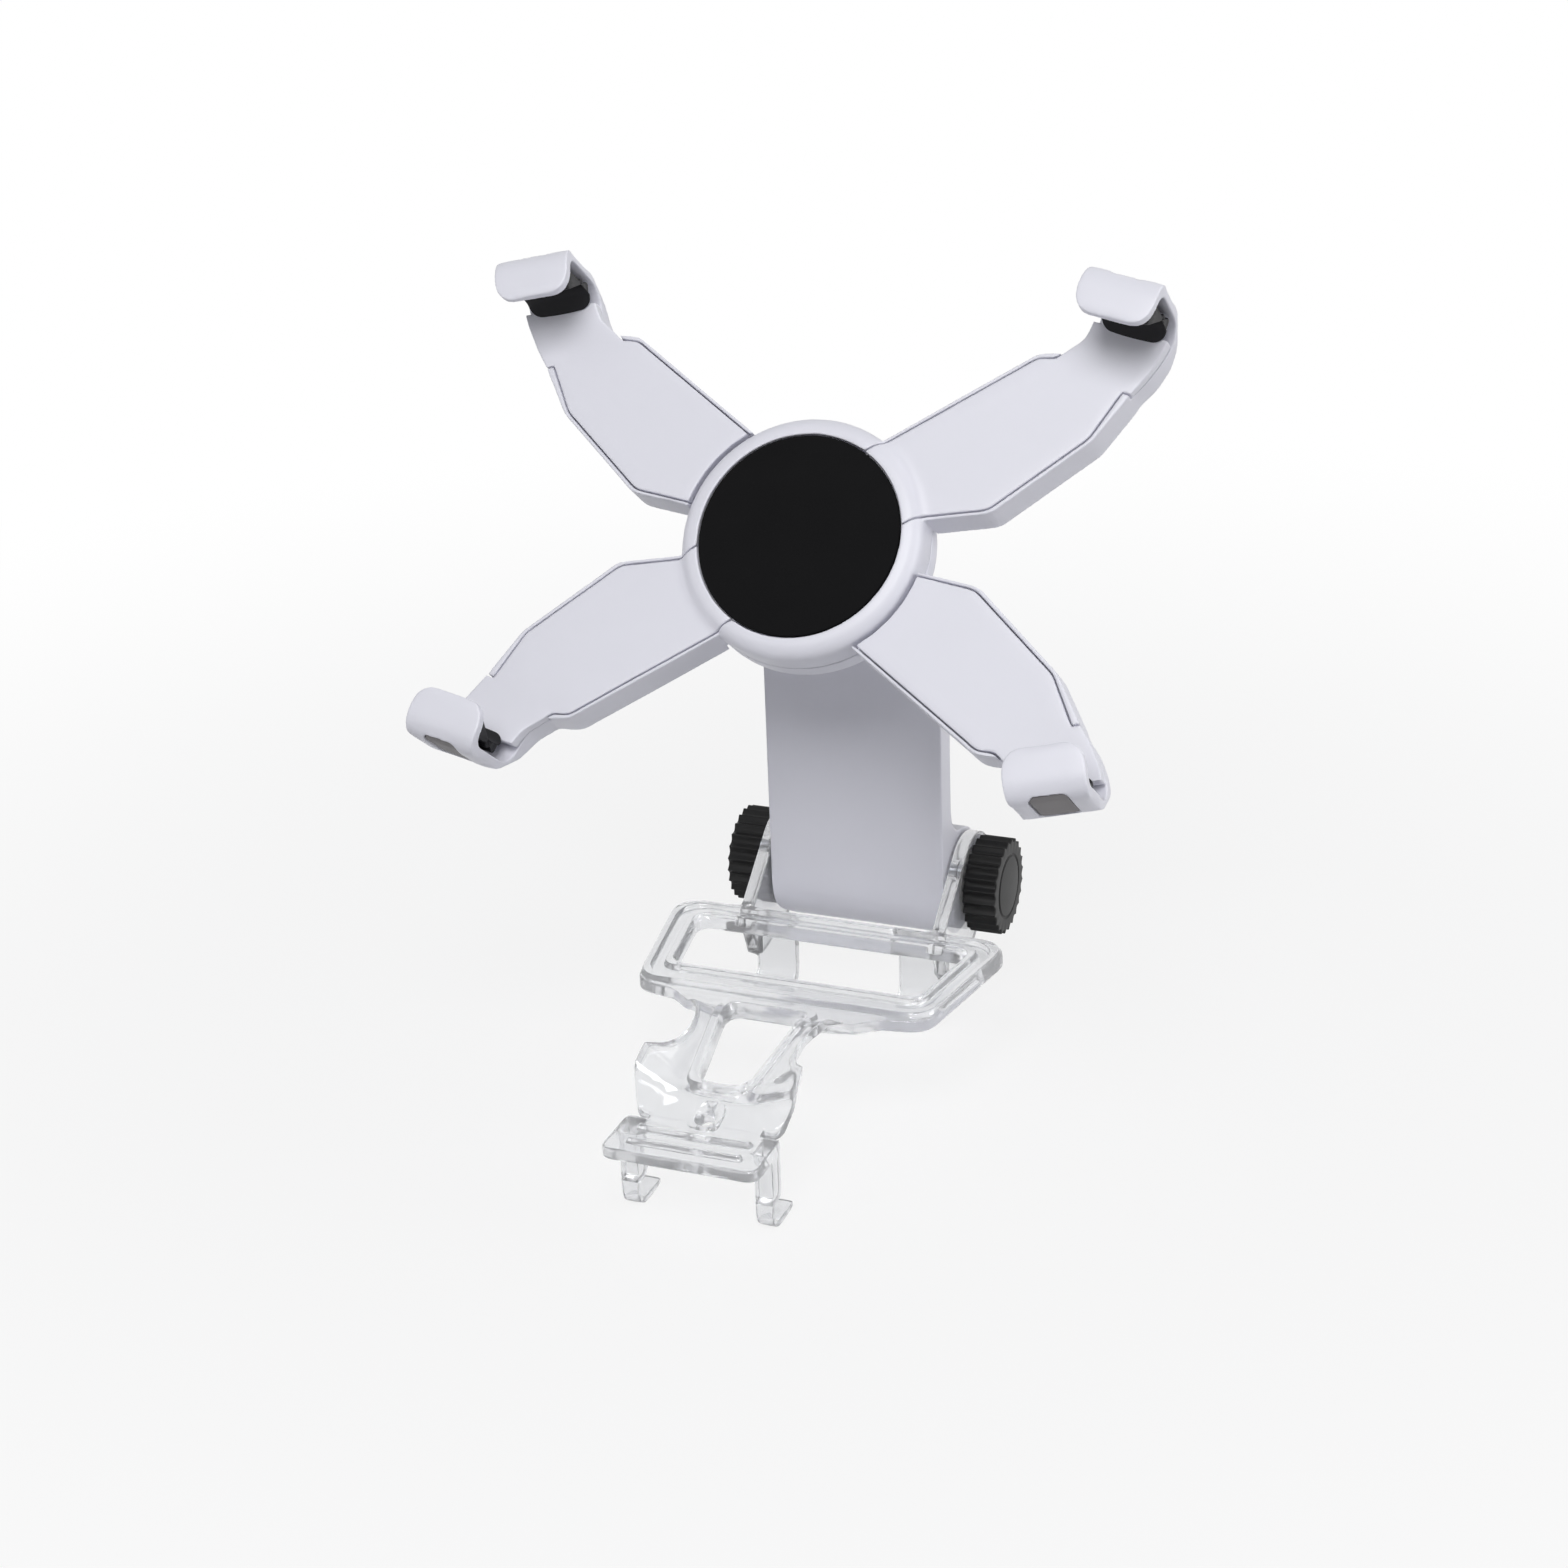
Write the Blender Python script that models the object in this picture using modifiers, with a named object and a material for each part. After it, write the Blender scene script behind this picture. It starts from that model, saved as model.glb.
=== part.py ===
"""Controller phone clip: a clear clip-on bracket, a tilting neck and a sprung four-arm clamp.

The shapes are worked out in millimetres and each finished mesh is scaled to metres.
The origin lies under the middle of the bracket's rear bar, on the face that seats on the
controller. +X is to the right, +Y away from the player and +Z off the controller's face.

The clamp's pieces are modelled in the clamp's own frame: its Z axis is the pivot's axis, zero
is the front of the round pad, and depths behind the pad are negative. An arm is modelled along
+X of that frame. Its hook is laid out in a frame turned by HOOK_TURN: "out" runs away from the
hub, square to the hook's wall, and "across" runs along the wall.
"""
import math

import bmesh
import bpy
from mathutils import Matrix, Vector

MILLIMETRE = 0.001
GAP = 0.3
WELD = 0.001
FLAT = 1.0

# Clear bracket
SHEET = 2.4
RIDGE = 1.1
RIDGE_WIDTH = 1.5
RIDGE_INSET = 0.5
FRAME_REAR = 3.0
FRAME_FRONT = -33.5
FRAME_REAR_HALF = 37.3
FRAME_FRONT_HALF = 31.0
WINDOW_REAR = -3.4
WINDOW_FRONT = -25.2
WINDOW_REAR_HALF = 29.6
WINDOW_FRONT_HALF = 26.0
OPENING_REAR = -38.6
OPENING_FRONT = -63.6
OPENING_REAR_HALF = 8.0
OPENING_FRONT_HALF = 4.7
SLOT_REAR = -69.5
SLOT_FRONT = -73.1
SLOT_HALF = 1.5
DOME_RADIUS = 15.4
DOME_X = 26.9
DOME_Y = -51.0
LOBE_HALF = 16.6
LOBE_FRONT = -71.0
NOTCH_HALF = 11.4
PLATE_START = -35.0
PLATE_RUN = 33.0
PLATE_DROP = 3.6
END_START = -66.5
END_RUN = 6.0
END_DROP = 3.6
WING_RISE = 3.4
WING_HALF = 12.0
WING_START = -38.0
WING_STOP = -70.5
WING_RAMP = 7.0

# Latch at the bracket's front
LATCH_HALF = 15.8
LATCH_REAR = -73.0
LATCH_FRONT = -85.8
LATCH_TOP = -4.5
LATCH_THICK = 2.5
RIB_HALF = 11.4
RIB_WIDTH = 1.5
RIB_RISE = 1.1
RIB_REARS = (-76.4, -81.4)
LEG_WIDTH = 3.6
LEG_FRONT = -77.8
LEG_REAR = -72.8
LEG_BOTTOM = -16.6
LEG_HOOK_THICK = 1.3
LEG_HOOK_BOTTOM = -22.4
LEG_HOOK_REACH = -67.4
LEG_CURL = 3.4

# Hinge between bracket and neck
HINGE_Y = 23.2
HINGE_Z = 5.8
BARREL_RADIUS = 11.5
NECK_HALF = 19.2
EAR_INNER = NECK_HALF + 0.5
EAR_THICK = 2.8
EAR_RADIUS = 10.9
EAR_FOOT_DEPTH = 9.0
EAR_FOOT_BACK = 19.0
REAR_HOOK_INNER = NECK_HALF - 7.7
REAR_HOOK_THICK = 2.4
SCREW_RADIUS = 2.0
NUT_RADIUS = 4.0
NUT_OUTER = NECK_HALF - 1.6
NUT_THICK = 3.0
SCREW_INNER_END = NUT_OUTER - NUT_THICK - 2.1
WASHER_RADIUS = 7.0
WASHER_THICK = 1.0
WASHER_OUTER = NECK_HALF + 0.1

# Thumb knobs
KNOB_INNER = EAR_INNER + EAR_THICK + GAP
KNOB_THICK = 7.2
KNOB_RADIUS = 10.2
KNOB_NOTCH = 0.9
KNOB_NOTCHES = 24
KNOB_SOCKET = 3.8
KNOB_SOCKET_DEPTH = 4.4

# Neck
NECK_THICK = 6.0
NECK_BEND = 26.0
NECK_FILLET = 7.0
NECK_CORNER = 5.0
NECK_TAPER_LOW = 58.0
NECK_TAPER_HIGH = 78.0

# Clamp
CLAMP_Y = -14.8
CLAMP_Z = 93.3
CLAMP_TILT = 52.8
FRONT_BAR_ANGLE = 38.0
REAR_BAR_ANGLE = 34.7
RING_RADIUS = 24.4
RING_LAND = RING_RADIUS - 1.8
RING_CHAMFER = 1.9
RING_STEPS = 40
PAD_RADIUS = RING_LAND - 2.35
PAD_THICK = 1.0
FRONT_HUB_BACK = -8.0
REAR_HUB_BACK = -13.6
HEAD_RADIUS = RING_RADIUS - 8.9
NECK_TOP_HALF = HEAD_RADIUS - 1.5
HEAD_FRONT = REAR_HUB_BACK - 1.2
HEAD_BACK = HEAD_FRONT - 10.7
ARM_FRONT = -1.8
ARM_BACK = -10.3
COVER_THICK = 2.0
COVER_START = PAD_RADIUS + 0.95
STRIP_START = PAD_RADIUS - 6.25
RECESS = ARM_FRONT - COVER_THICK - GAP - 0.05
RIM = 0.9
PIVOT_RADIUS = 4.0
PIVOT_THREAD = 3.0
PIVOT_HEAD = 6.2
PIVOT_ROOM = PIVOT_HEAD + 1.1
PIVOT_HEAD_FRONT = -1.6
PIVOT_SEAT = -5.6
PIVOT_END = HEAD_BACK + 2.9
INSERT_RADIUS = PIVOT_THREAD + 1.6
DISC_INNER = 8.5
DISC_OUTER = PAD_RADIUS - 2.25
DISC_ROOM = 0.6

# Hooks at the arms' ends
HOOK_TURN = 40.7
HOOK_WALL = 62.5
HOOK_WALL_THICK = 2.3
HOOK_MIDDLE = -HOOK_WALL * math.tan(math.radians(HOOK_TURN))
HOOK_NEAR = HOOK_MIDDLE + 13.86
HOOK_FAR = HOOK_MIDDLE - 1.14
HOOK_TOP = 15.0
HOOK_ROOT = HOOK_WALL - 19.5
TAB_THICK = 2.2
TAB_END = HOOK_WALL - 10.0
TAB_CORNER = 4.0
COVER_END = HOOK_WALL - 6.3
LINER_THICK = 1.6
LINER_INSET = 1.4
WINDOW_HALF = 3.2
WINDOW_LOW = 4.5
WINDOW_HIGH = 11.9

# Plan of an arm, seen along the pivot: x runs from the pivot to where the arm meets the hook's wall
ARM_TIP = HOOK_WALL / math.cos(math.radians(HOOK_TURN))
ARM_ROOT = RING_RADIUS - 2.0
ARM_SHOULDER = RING_RADIUS + 9.4
ARM_BEND = ARM_TIP - 25.84
ARM_NECK = ARM_TIP - 15.04
NARROW_SIDE = 7.8
NARROW_END = 6.5
WIDE_START = 9.1
WIDE_SIDE = 14.8
WIDE_END = 12.9
COVER_SCREW_BORE = 1.5
COVER_SCREW_HEAD = 2.6
COVER_SCREW_SEAT = ARM_BACK + 2.4
COVER_SCREWS = ((RING_RADIUS + (ARM_TIP - RING_RADIUS) * 0.2, -3.4), (ARM_BEND - 2.6, -3.2))

SIDE_VIEW = Matrix(((0, 0, 1, 0), (1, 0, 0, 0), (0, 1, 0, 0), (0, 0, 0, 1)))
FRONT_VIEW = Matrix.Rotation(math.radians(90.0), 4, "X")
HINGE_FRAME = Matrix.Translation((0.0, HINGE_Y, HINGE_Z))
CLAMP_FRAME = (Matrix.Translation((0.0, CLAMP_Y, CLAMP_Z))
               @ Matrix.Rotation(math.radians(CLAMP_TILT), 4, "X"))
OUT = Vector((math.cos(math.radians(HOOK_TURN)), math.sin(math.radians(HOOK_TURN)), 0.0))
ACROSS = Vector((-OUT.y, OUT.x, 0.0))
DEPTH = Vector((0.0, 0.0, 1.0))


def frame_of(x_axis, y_axis, z_axis):
    """A turn whose columns are the three given directions."""
    return Matrix((x_axis, y_axis, z_axis)).transposed().to_4x4()


HOOK_PROFILE_VIEW = frame_of(OUT, DEPTH, -ACROSS)
HOOK_WALL_VIEW = frame_of(ACROSS, DEPTH, OUT)
HOOK_PLAN_VIEW = frame_of(OUT, ACROSS, DEPTH)


# Scene and finish helpers

def empty_scene():
    """Remove what the file holds and make the two collections."""
    for old in list(bpy.data.objects):
        bpy.data.objects.remove(old)
    parts = bpy.data.collections.new("controller_phone_clip")
    tools = bpy.data.collections.new("cutters")
    for collection in (parts, tools):
        bpy.context.scene.collection.children.link(collection)
    return parts, tools


PARTS, TOOLS = empty_scene()


def material(name, colour, roughness, metallic=0.0, transmission=0.0):
    """A plain Principled material."""
    made = bpy.data.materials.new(name)
    made.use_nodes = True
    shader = made.node_tree.nodes["Principled BSDF"]
    shader.inputs["Base Color"].default_value = (*colour, 1.0)
    shader.inputs["Roughness"].default_value = roughness
    shader.inputs["Metallic"].default_value = metallic
    shader.inputs["Transmission Weight"].default_value = transmission
    made.diffuse_color = (*colour, 1.0)
    return made


WHITE_PLASTIC = ("white_plastic", (0.75, 0.75, 0.82), 0.38, 0.0, 0.0)
CLEAR_PLASTIC = ("clear_plastic", (0.95, 0.96, 0.96), 0.08, 0.0, 0.9)
BLACK_PLASTIC = ("black_plastic", (0.012, 0.012, 0.014), 0.5, 0.0, 0.0)
BLACK_RUBBER = ("black_rubber", (0.014, 0.014, 0.015), 0.75, 0.0, 0.0)
ZINC_STEEL = ("zinc_steel", (0.56, 0.57, 0.58), 0.35, 1.0, 0.0)
BRASS = ("brass", (0.72, 0.52, 0.24), 0.35, 1.0, 0.0)
NYLON = ("nylon", (0.60, 0.59, 0.55), 0.55, 0.0, 0.0)


def axis_empty(name, frame):
    """An empty that stands on a joint's axis."""
    mark = bpy.data.objects.new(name, None)
    mark.empty_display_size = 0.01
    placed = frame.copy()
    placed.translation = frame.translation * MILLIMETRE
    mark.matrix_world = placed
    PARTS.objects.link(mark)
    return mark


def tidied(shape):
    """Join vertices at one spot and merge faces that lie in one plane."""
    mesh = bmesh.new()
    mesh.from_mesh(shape.data)
    bmesh.ops.remove_doubles(mesh, verts=mesh.verts, dist=WELD)
    bmesh.ops.dissolve_limit(mesh, angle_limit=math.radians(FLAT), verts=mesh.verts, edges=mesh.edges)
    mesh.to_mesh(shape.data)
    mesh.free()


def finish(shape, name, look, parent=None, parent_frame=None, modelled_in=None):
    """Turn a worked shape into a named part in metres, under its joint's empty."""
    parent_frame = parent_frame or Matrix.Identity(4)
    modelled_in = modelled_in or Matrix.Identity(4)
    tidied(shape)
    shape.data.transform(parent_frame.inverted() @ modelled_in)
    shape.data.transform(Matrix.Scale(MILLIMETRE, 4))
    shape.name = name
    shape.data.name = name
    shape.data.materials.clear()
    shape.data.materials.append(material(name + "_" + look[0], *look[1:]))
    shape.data.shade_smooth()
    shape.data.set_sharp_from_angle(angle=math.radians(35.0))
    TOOLS.objects.unlink(shape)
    PARTS.objects.link(shape)
    shape.hide_render = False
    shape.display_type = "TEXTURED"
    if parent:
        shape.parent = parent
    return shape


# Outline helpers

def arc(centre, radius, start, end, steps):
    """Points on an arc from one angle to another, in degrees, ends included."""
    points = []
    for step in range(steps + 1):
        angle = math.radians(start + (end - start) * step / steps)
        points.append((centre[0] + radius * math.cos(angle), centre[1] + radius * math.sin(angle)))
    return points


def rounded(corners, steps_per_turn=16):
    """An outline from corners (x, y) or (x, y, radius), each radius made an arc."""
    outline = []
    count = len(corners)
    for index, corner in enumerate(corners):
        here = Vector(corner[:2])
        radius = corner[2] if len(corner) > 2 else 0.0
        before = Vector(corners[index - 1][:2]) - here
        after = Vector(corners[(index + 1) % count][:2]) - here
        if radius == 0.0:
            outline.append((here.x, here.y))
            continue
        half = before.angle(after) / 2.0
        reach = radius / math.tan(half)
        centre = here + (before.normalized() + after.normalized()).normalized() * radius / math.sin(half)
        first = here + before.normalized() * reach - centre
        turn = first.angle_signed(here + after.normalized() * reach - centre)
        steps = max(2, round(abs(turn) / math.tau * steps_per_turn))
        start = math.degrees(math.atan2(first.y, first.x))
        outline.extend(arc(centre, radius, start, start - math.degrees(turn), steps))
    return outline


def grown(corners, distance):
    """A clockwise or anticlockwise outline's corners moved outwards by a distance."""
    count = len(corners)
    area = sum(corners[i - 1][0] * corners[i][1] - corners[i][0] * corners[i - 1][1] for i in range(count))
    side = distance if area > 0 else -distance
    moved = []
    for index, corner in enumerate(corners):
        here = Vector(corner[:2])
        ahead = (Vector(corners[(index + 1) % count][:2]) - here).normalized()
        behind = (here - Vector(corners[index - 1][:2])).normalized()
        normal_ahead = Vector((ahead.y, -ahead.x))
        normal_behind = Vector((behind.y, -behind.x))
        bisector = (normal_ahead + normal_behind).normalized()
        spot = here + bisector * side / bisector.dot(normal_ahead)
        moved.append((spot.x, spot.y, *corner[2:]))
    return moved


def mirrored_outline(right_half):
    """Close an outline given from rear to front on the right with its mirror on the left."""
    return right_half + [(-point[0], *point[1:]) for point in reversed(right_half)]


def trapezoid(rear_half, rear, front_half, front, radius):
    """Corners of a tapered opening or frame, wider at the rear."""
    return mirrored_outline([(rear_half, rear, radius), (front_half, front, radius)])


def ribbon(path, thickness):
    """The outline of a strip of even thickness that follows a path."""
    left = []
    right = []
    for index, spot in enumerate(path):
        ahead = Vector(path[min(index + 1, len(path) - 1)])
        behind = Vector(path[max(index - 1, 0)])
        along = (ahead - behind).normalized()
        normal = Vector((-along.y, along.x)) * thickness / 2.0
        left.append((spot[0] + normal.x, spot[1] + normal.y))
        right.append((spot[0] - normal.x, spot[1] - normal.y))
    return left + right[::-1]


# Solid helpers

def tool_object(mesh):
    """Put a mesh in the cutters' collection."""
    shape = bpy.data.objects.new("tool", mesh)
    shape.hide_render = True
    shape.display_type = "WIRE"
    TOOLS.objects.link(shape)
    return shape


def from_bmesh(shape):
    """Close a bmesh into a tool object with its faces pointing out."""
    bmesh.ops.remove_doubles(shape, verts=shape.verts, dist=WELD)
    bmesh.ops.recalc_face_normals(shape, faces=shape.faces)
    mesh = bpy.data.meshes.new("tool")
    shape.to_mesh(mesh)
    shape.free()
    return tool_object(mesh)


def evaluated_mesh(shape):
    """The object's mesh with its modifiers applied."""
    graph = bpy.context.evaluated_depsgraph_get()
    return bpy.data.meshes.new_from_object(shape.evaluated_get(graph))


def applied(shape):
    """Replace an object's mesh by the one its modifiers make."""
    mesh = evaluated_mesh(shape)
    shape.modifiers.clear()
    shape.data = mesh
    return shape


def moved(shape, turn):
    """Move a shape's mesh, and turn its faces out again after a mirror."""
    shape.data.transform(turn)
    if turn.determinant() < 0:
        shape.data.flip_normals()
    return shape


def copied(shape, turn=None):
    """A copy of a shape, moved where a turn is given."""
    twin = tool_object(shape.data.copy())
    return moved(twin, turn) if turn else twin


def extruded(outline, low, high, view=None, holes=()):
    """A flat outline, with holes where given, raised from one height to another."""
    curve = bpy.data.curves.new("outline", "CURVE")
    curve.dimensions = "2D"
    curve.fill_mode = "BOTH"
    curve.extrude = (high - low) / 2.0
    for points in (outline, *holes):
        spline = curve.splines.new("POLY")
        spline.points.add(len(points) - 1)
        for spot, (x, y) in zip(spline.points, points):
            spot.co = (x, y, 0.0, 1.0)
        spline.use_cyclic_u = True
    flat = bpy.data.objects.new("outline", curve)
    TOOLS.objects.link(flat)
    shape = bmesh.new()
    shape.from_mesh(evaluated_mesh(flat))
    bpy.data.objects.remove(flat)
    bmesh.ops.translate(shape, verts=shape.verts, vec=(0.0, 0.0, (low + high) / 2.0))
    return moved(from_bmesh(shape), view or Matrix.Identity(4))


def cylinder(radius, low, high, steps=24, place=None):
    """An upright cylinder between two heights."""
    shape = bmesh.new()
    middle = Matrix.Translation((0.0, 0.0, (low + high) / 2.0))
    bmesh.ops.create_cone(shape, cap_ends=True, segments=steps, radius1=radius, radius2=radius,
                          depth=high - low, matrix=middle)
    return moved(from_bmesh(shape), place or Matrix.Identity(4))


def turned(profile, steps):
    """A closed profile of (radius, height) corners turned about Z."""
    mesh = bpy.data.meshes.new("profile")
    corners = [(radius, 0.0, height) for radius, height in profile]
    sides = [(index, (index + 1) % len(corners)) for index in range(len(corners))]
    sides = [side for side in sides if profile[side[0]][0] + profile[side[1]][0] > 0.0]
    mesh.from_pydata(corners, sides, [])
    shape = tool_object(mesh)
    screw = shape.modifiers.new("turn", "SCREW")
    screw.steps = steps
    screw.render_steps = steps
    screw.use_merge_vertices = True
    screw.merge_threshold = 0.0001
    closed = bmesh.new()
    closed.from_mesh(applied(shape).data)
    bpy.data.objects.remove(shape)
    return from_bmesh(closed)


def bevelled(shape, width, segments=1, angle=35.0):
    """Soften the edges sharper than an angle."""
    bevel = shape.modifiers.new("soft edges", "BEVEL")
    bevel.width = width
    bevel.segments = segments
    bevel.limit_method = "ANGLE"
    bevel.angle_limit = math.radians(angle)
    return applied(shape)


def combined(target, tool, operation):
    """Apply one Boolean and remove its tool."""
    step = target.modifiers.new(operation.lower(), "BOOLEAN")
    step.operation = operation
    step.solver = "EXACT"
    step.object = tool
    applied(target)
    bpy.data.objects.remove(tool)
    return target


def joined(target, *tools):
    """The union of shapes."""
    for tool in tools:
        combined(target, tool, "UNION")
    return target


def cut(target, *tools):
    """A shape less the given tools."""
    for tool in tools:
        combined(target, tool, "DIFFERENCE")
    return target


def common(target, tool):
    """What two shapes share."""
    return combined(target, tool, "INTERSECT")


# Clear bracket

def smooth(share):
    """An eased step from 0 to 1."""
    share = min(1.0, max(0.0, share))
    return share * share * (3.0 - 2.0 * share)


def seat_height(x, y):
    """Height of the bracket's underside, which follows the controller's face."""
    plate = PLATE_DROP * smooth((PLATE_START - y) / PLATE_RUN)
    end = END_DROP * smooth((END_START - y) / END_RUN)
    wing = WING_RISE * (x / WING_HALF) ** 2
    wing *= smooth((WING_START - y) / WING_RAMP) * smooth((y - WING_STOP) / WING_RAMP)
    return wing - plate - end


def formed_sheet(low, high):
    """A closed sheet between two heights above the seat, formed to the controller's face."""
    half_rows = [0.0, 6.0, 11.0, 16.0, FRAME_REAR_HALF + 5.0]
    across = [-x for x in half_rows[:0:-1]] + half_rows
    along = [FRAME_REAR + 3.0, PLATE_START]
    while along[-1] > END_START - END_RUN:
        along.append(along[-1] - 3.9)
    along.append(LATCH_REAR - 4.0)
    shape = bmesh.new()
    layers = []
    for height in (low, high):
        rows = [[shape.verts.new((x, y, seat_height(x, y) + height)) for x in across] for y in along]
        layers.append(rows)
        for row, next_row in zip(rows, rows[1:]):
            for i in range(len(across) - 1):
                shape.faces.new((row[i], row[i + 1], next_row[i + 1], next_row[i]))
    bottom, top = layers
    border = bottom[0] + [row[-1] for row in bottom[1:]] + bottom[-1][-2::-1]
    border += [row[0] for row in bottom[-2:0:-1]]
    border_top = top[0] + [row[-1] for row in top[1:]] + top[-1][-2::-1]
    border_top += [row[0] for row in top[-2:0:-1]]
    for i in range(len(border)):
        shape.faces.new((border[i - 1], border[i], border_top[i], border_top[i - 1]))
    bmesh.ops.triangulate(shape, faces=shape.faces)
    return from_bmesh(shape)


def ring_prism(corners, inner, outer):
    """An upright ring between two distances outside an outline."""
    return extruded(rounded(grown(corners, outer)), -20.0, 20.0,
                    holes=[rounded(grown(corners, inner))])


def bracket_plate():
    """Frame and centre plate in one formed sheet, with the ridges that stiffen them."""
    frame = trapezoid(FRAME_REAR_HALF, FRAME_REAR, FRAME_FRONT_HALF, FRAME_FRONT, 5.0)
    window = trapezoid(WINDOW_REAR_HALF, WINDOW_REAR, WINDOW_FRONT_HALF, WINDOW_FRONT, 2.6)
    opening = trapezoid(OPENING_REAR_HALF, OPENING_REAR, OPENING_FRONT_HALF, OPENING_FRONT, 2.0)
    slot = trapezoid(SLOT_HALF, SLOT_REAR, SLOT_HALF, SLOT_FRONT, 1.3)
    right = [(FRAME_REAR_HALF, FRAME_REAR, 5.0), (FRAME_FRONT_HALF, FRAME_FRONT, 5.0),
             (22.0, FRAME_FRONT - 1.6, 3.0)]
    right += arc((DOME_X, DOME_Y), DOME_RADIUS, 123.0, 226.0, 7)
    right += [(LOBE_HALF, LOBE_FRONT + 4.0, 2.4), (LOBE_HALF - 2.4, LOBE_FRONT, 2.2),
              (NOTCH_HALF, LOBE_FRONT), (NOTCH_HALF, LATCH_REAR - 2.0)]
    outline = rounded(mirrored_outline(right))
    holes = [rounded(window), rounded(opening), rounded(slot)]
    plate = common(formed_sheet(0.0, SHEET), extruded(outline, -20.0, 20.0, holes=holes))
    rings = [ring_prism(frame, -RIDGE_INSET - RIDGE_WIDTH, -RIDGE_INSET)]
    rings += [ring_prism(hole, RIDGE_INSET, RIDGE_INSET + RIDGE_WIDTH) for hole in (window, opening)]
    rings.append(ring_prism(slot, RIDGE_INSET, RIDGE_INSET + 1.0))
    for ring in rings:
        joined(plate, common(ring, formed_sheet(SHEET - 0.9, SHEET + RIDGE)))
    return plate


def latch():
    """The thick bar with two ribs across the plate's front, and its two hooked legs."""
    bar = mirrored_outline([(LATCH_HALF, LATCH_REAR), (LATCH_HALF, LATCH_FRONT + 1.2),
                            (LATCH_HALF - 1.2, LATCH_FRONT)])
    body = bevelled(extruded(bar, LATCH_TOP - LATCH_THICK, LATCH_TOP), 0.4)
    for rear in RIB_REARS:
        rib = mirrored_outline([(RIB_HALF, rear), (RIB_HALF, rear - RIB_WIDTH)])
        joined(body, bevelled(extruded(rib, LATCH_TOP - 1.0, LATCH_TOP + RIB_RISE), 0.35))
    face = LEG_FRONT + LEG_HOOK_THICK / 2.0
    floor = LEG_HOOK_BOTTOM + LEG_HOOK_THICK / 2.0
    curl = arc((face + LEG_CURL, floor + LEG_CURL), LEG_CURL, 180.0, 270.0, 5)
    tip = [(LEG_HOOK_REACH - 1.5, floor), (LEG_HOOK_REACH, floor + 0.5)]
    hook_outline = ribbon([(face, LEG_BOTTOM + 2.0)] + curl + tip, LEG_HOOK_THICK)
    leg_outline = rounded([(LEG_FRONT + 0.1, LATCH_TOP - 1.0), (LEG_FRONT + 0.1, LEG_BOTTOM),
                           (LEG_REAR, LEG_BOTTOM, 1.2), (LEG_REAR, LATCH_TOP - 1.0)])
    for low in (LATCH_HALF - LEG_WIDTH - 0.3, 0.3 - LATCH_HALF):
        leg = extruded(leg_outline, low, low + LEG_WIDTH, SIDE_VIEW)
        joined(body, joined(leg, extruded(hook_outline, low + 0.1, low + LEG_WIDTH - 0.1, SIDE_VIEW)))
    return body


def hinge_ear():
    """The right ear: a round-topped plate beside the neck's barrel, bored for the screw."""
    foot_front = (FRAME_REAR - 0.6, SHEET + RIDGE - 0.2)
    reach = Vector((HINGE_Y - foot_front[0], HINGE_Z - foot_front[1]))
    lean = math.degrees(math.atan2(reach.y, reach.x) + math.asin(EAR_RADIUS / reach.length))
    arch = arc((HINGE_Y, HINGE_Z), EAR_RADIUS, lean + 90.0, -42.0, 13)
    foot = [(EAR_FOOT_BACK, -EAR_FOOT_DEPTH), (FRAME_REAR + 2.0, -EAR_FOOT_DEPTH),
            (FRAME_REAR - 2.0, 0.8)]
    plate = extruded([foot_front] + arch + foot, EAR_INNER, EAR_INNER + EAR_THICK, SIDE_VIEW)
    bore = extruded(arc((HINGE_Y, HINGE_Z), SCREW_RADIUS + GAP, 0.0, 330.0, 11),
                    EAR_INNER - 1.0, EAR_INNER + EAR_THICK + 1.0, SIDE_VIEW)
    return cut(plate, bore)


def rear_hook():
    """The right hook that goes over the controller's rear edge, beside the charging socket."""
    path = [(FRAME_REAR - 2.0, 1.3), (FRAME_REAR + 1.2, 1.0), (FRAME_REAR + 3.0, -1.0)]
    path += arc((FRAME_REAR - 0.6, -11.0), 3.6, 0.0, -80.0, 4)
    return extruded(ribbon(path, REAR_HOOK_THICK), REAR_HOOK_INNER, EAR_INNER + 0.6, SIDE_VIEW)


def clear_bracket():
    """The whole transparent moulding."""
    body = joined(bracket_plate(), latch())
    mirror = Matrix.Scale(-1.0, 4, (1.0, 0.0, 0.0))
    for piece in (hinge_ear(), rear_hook()):
        twin = copied(piece, mirror)
        joined(body, piece, twin)
    return finish(body, "clear_bracket", CLEAR_PLASTIC)


# Neck and its hinge

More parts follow.
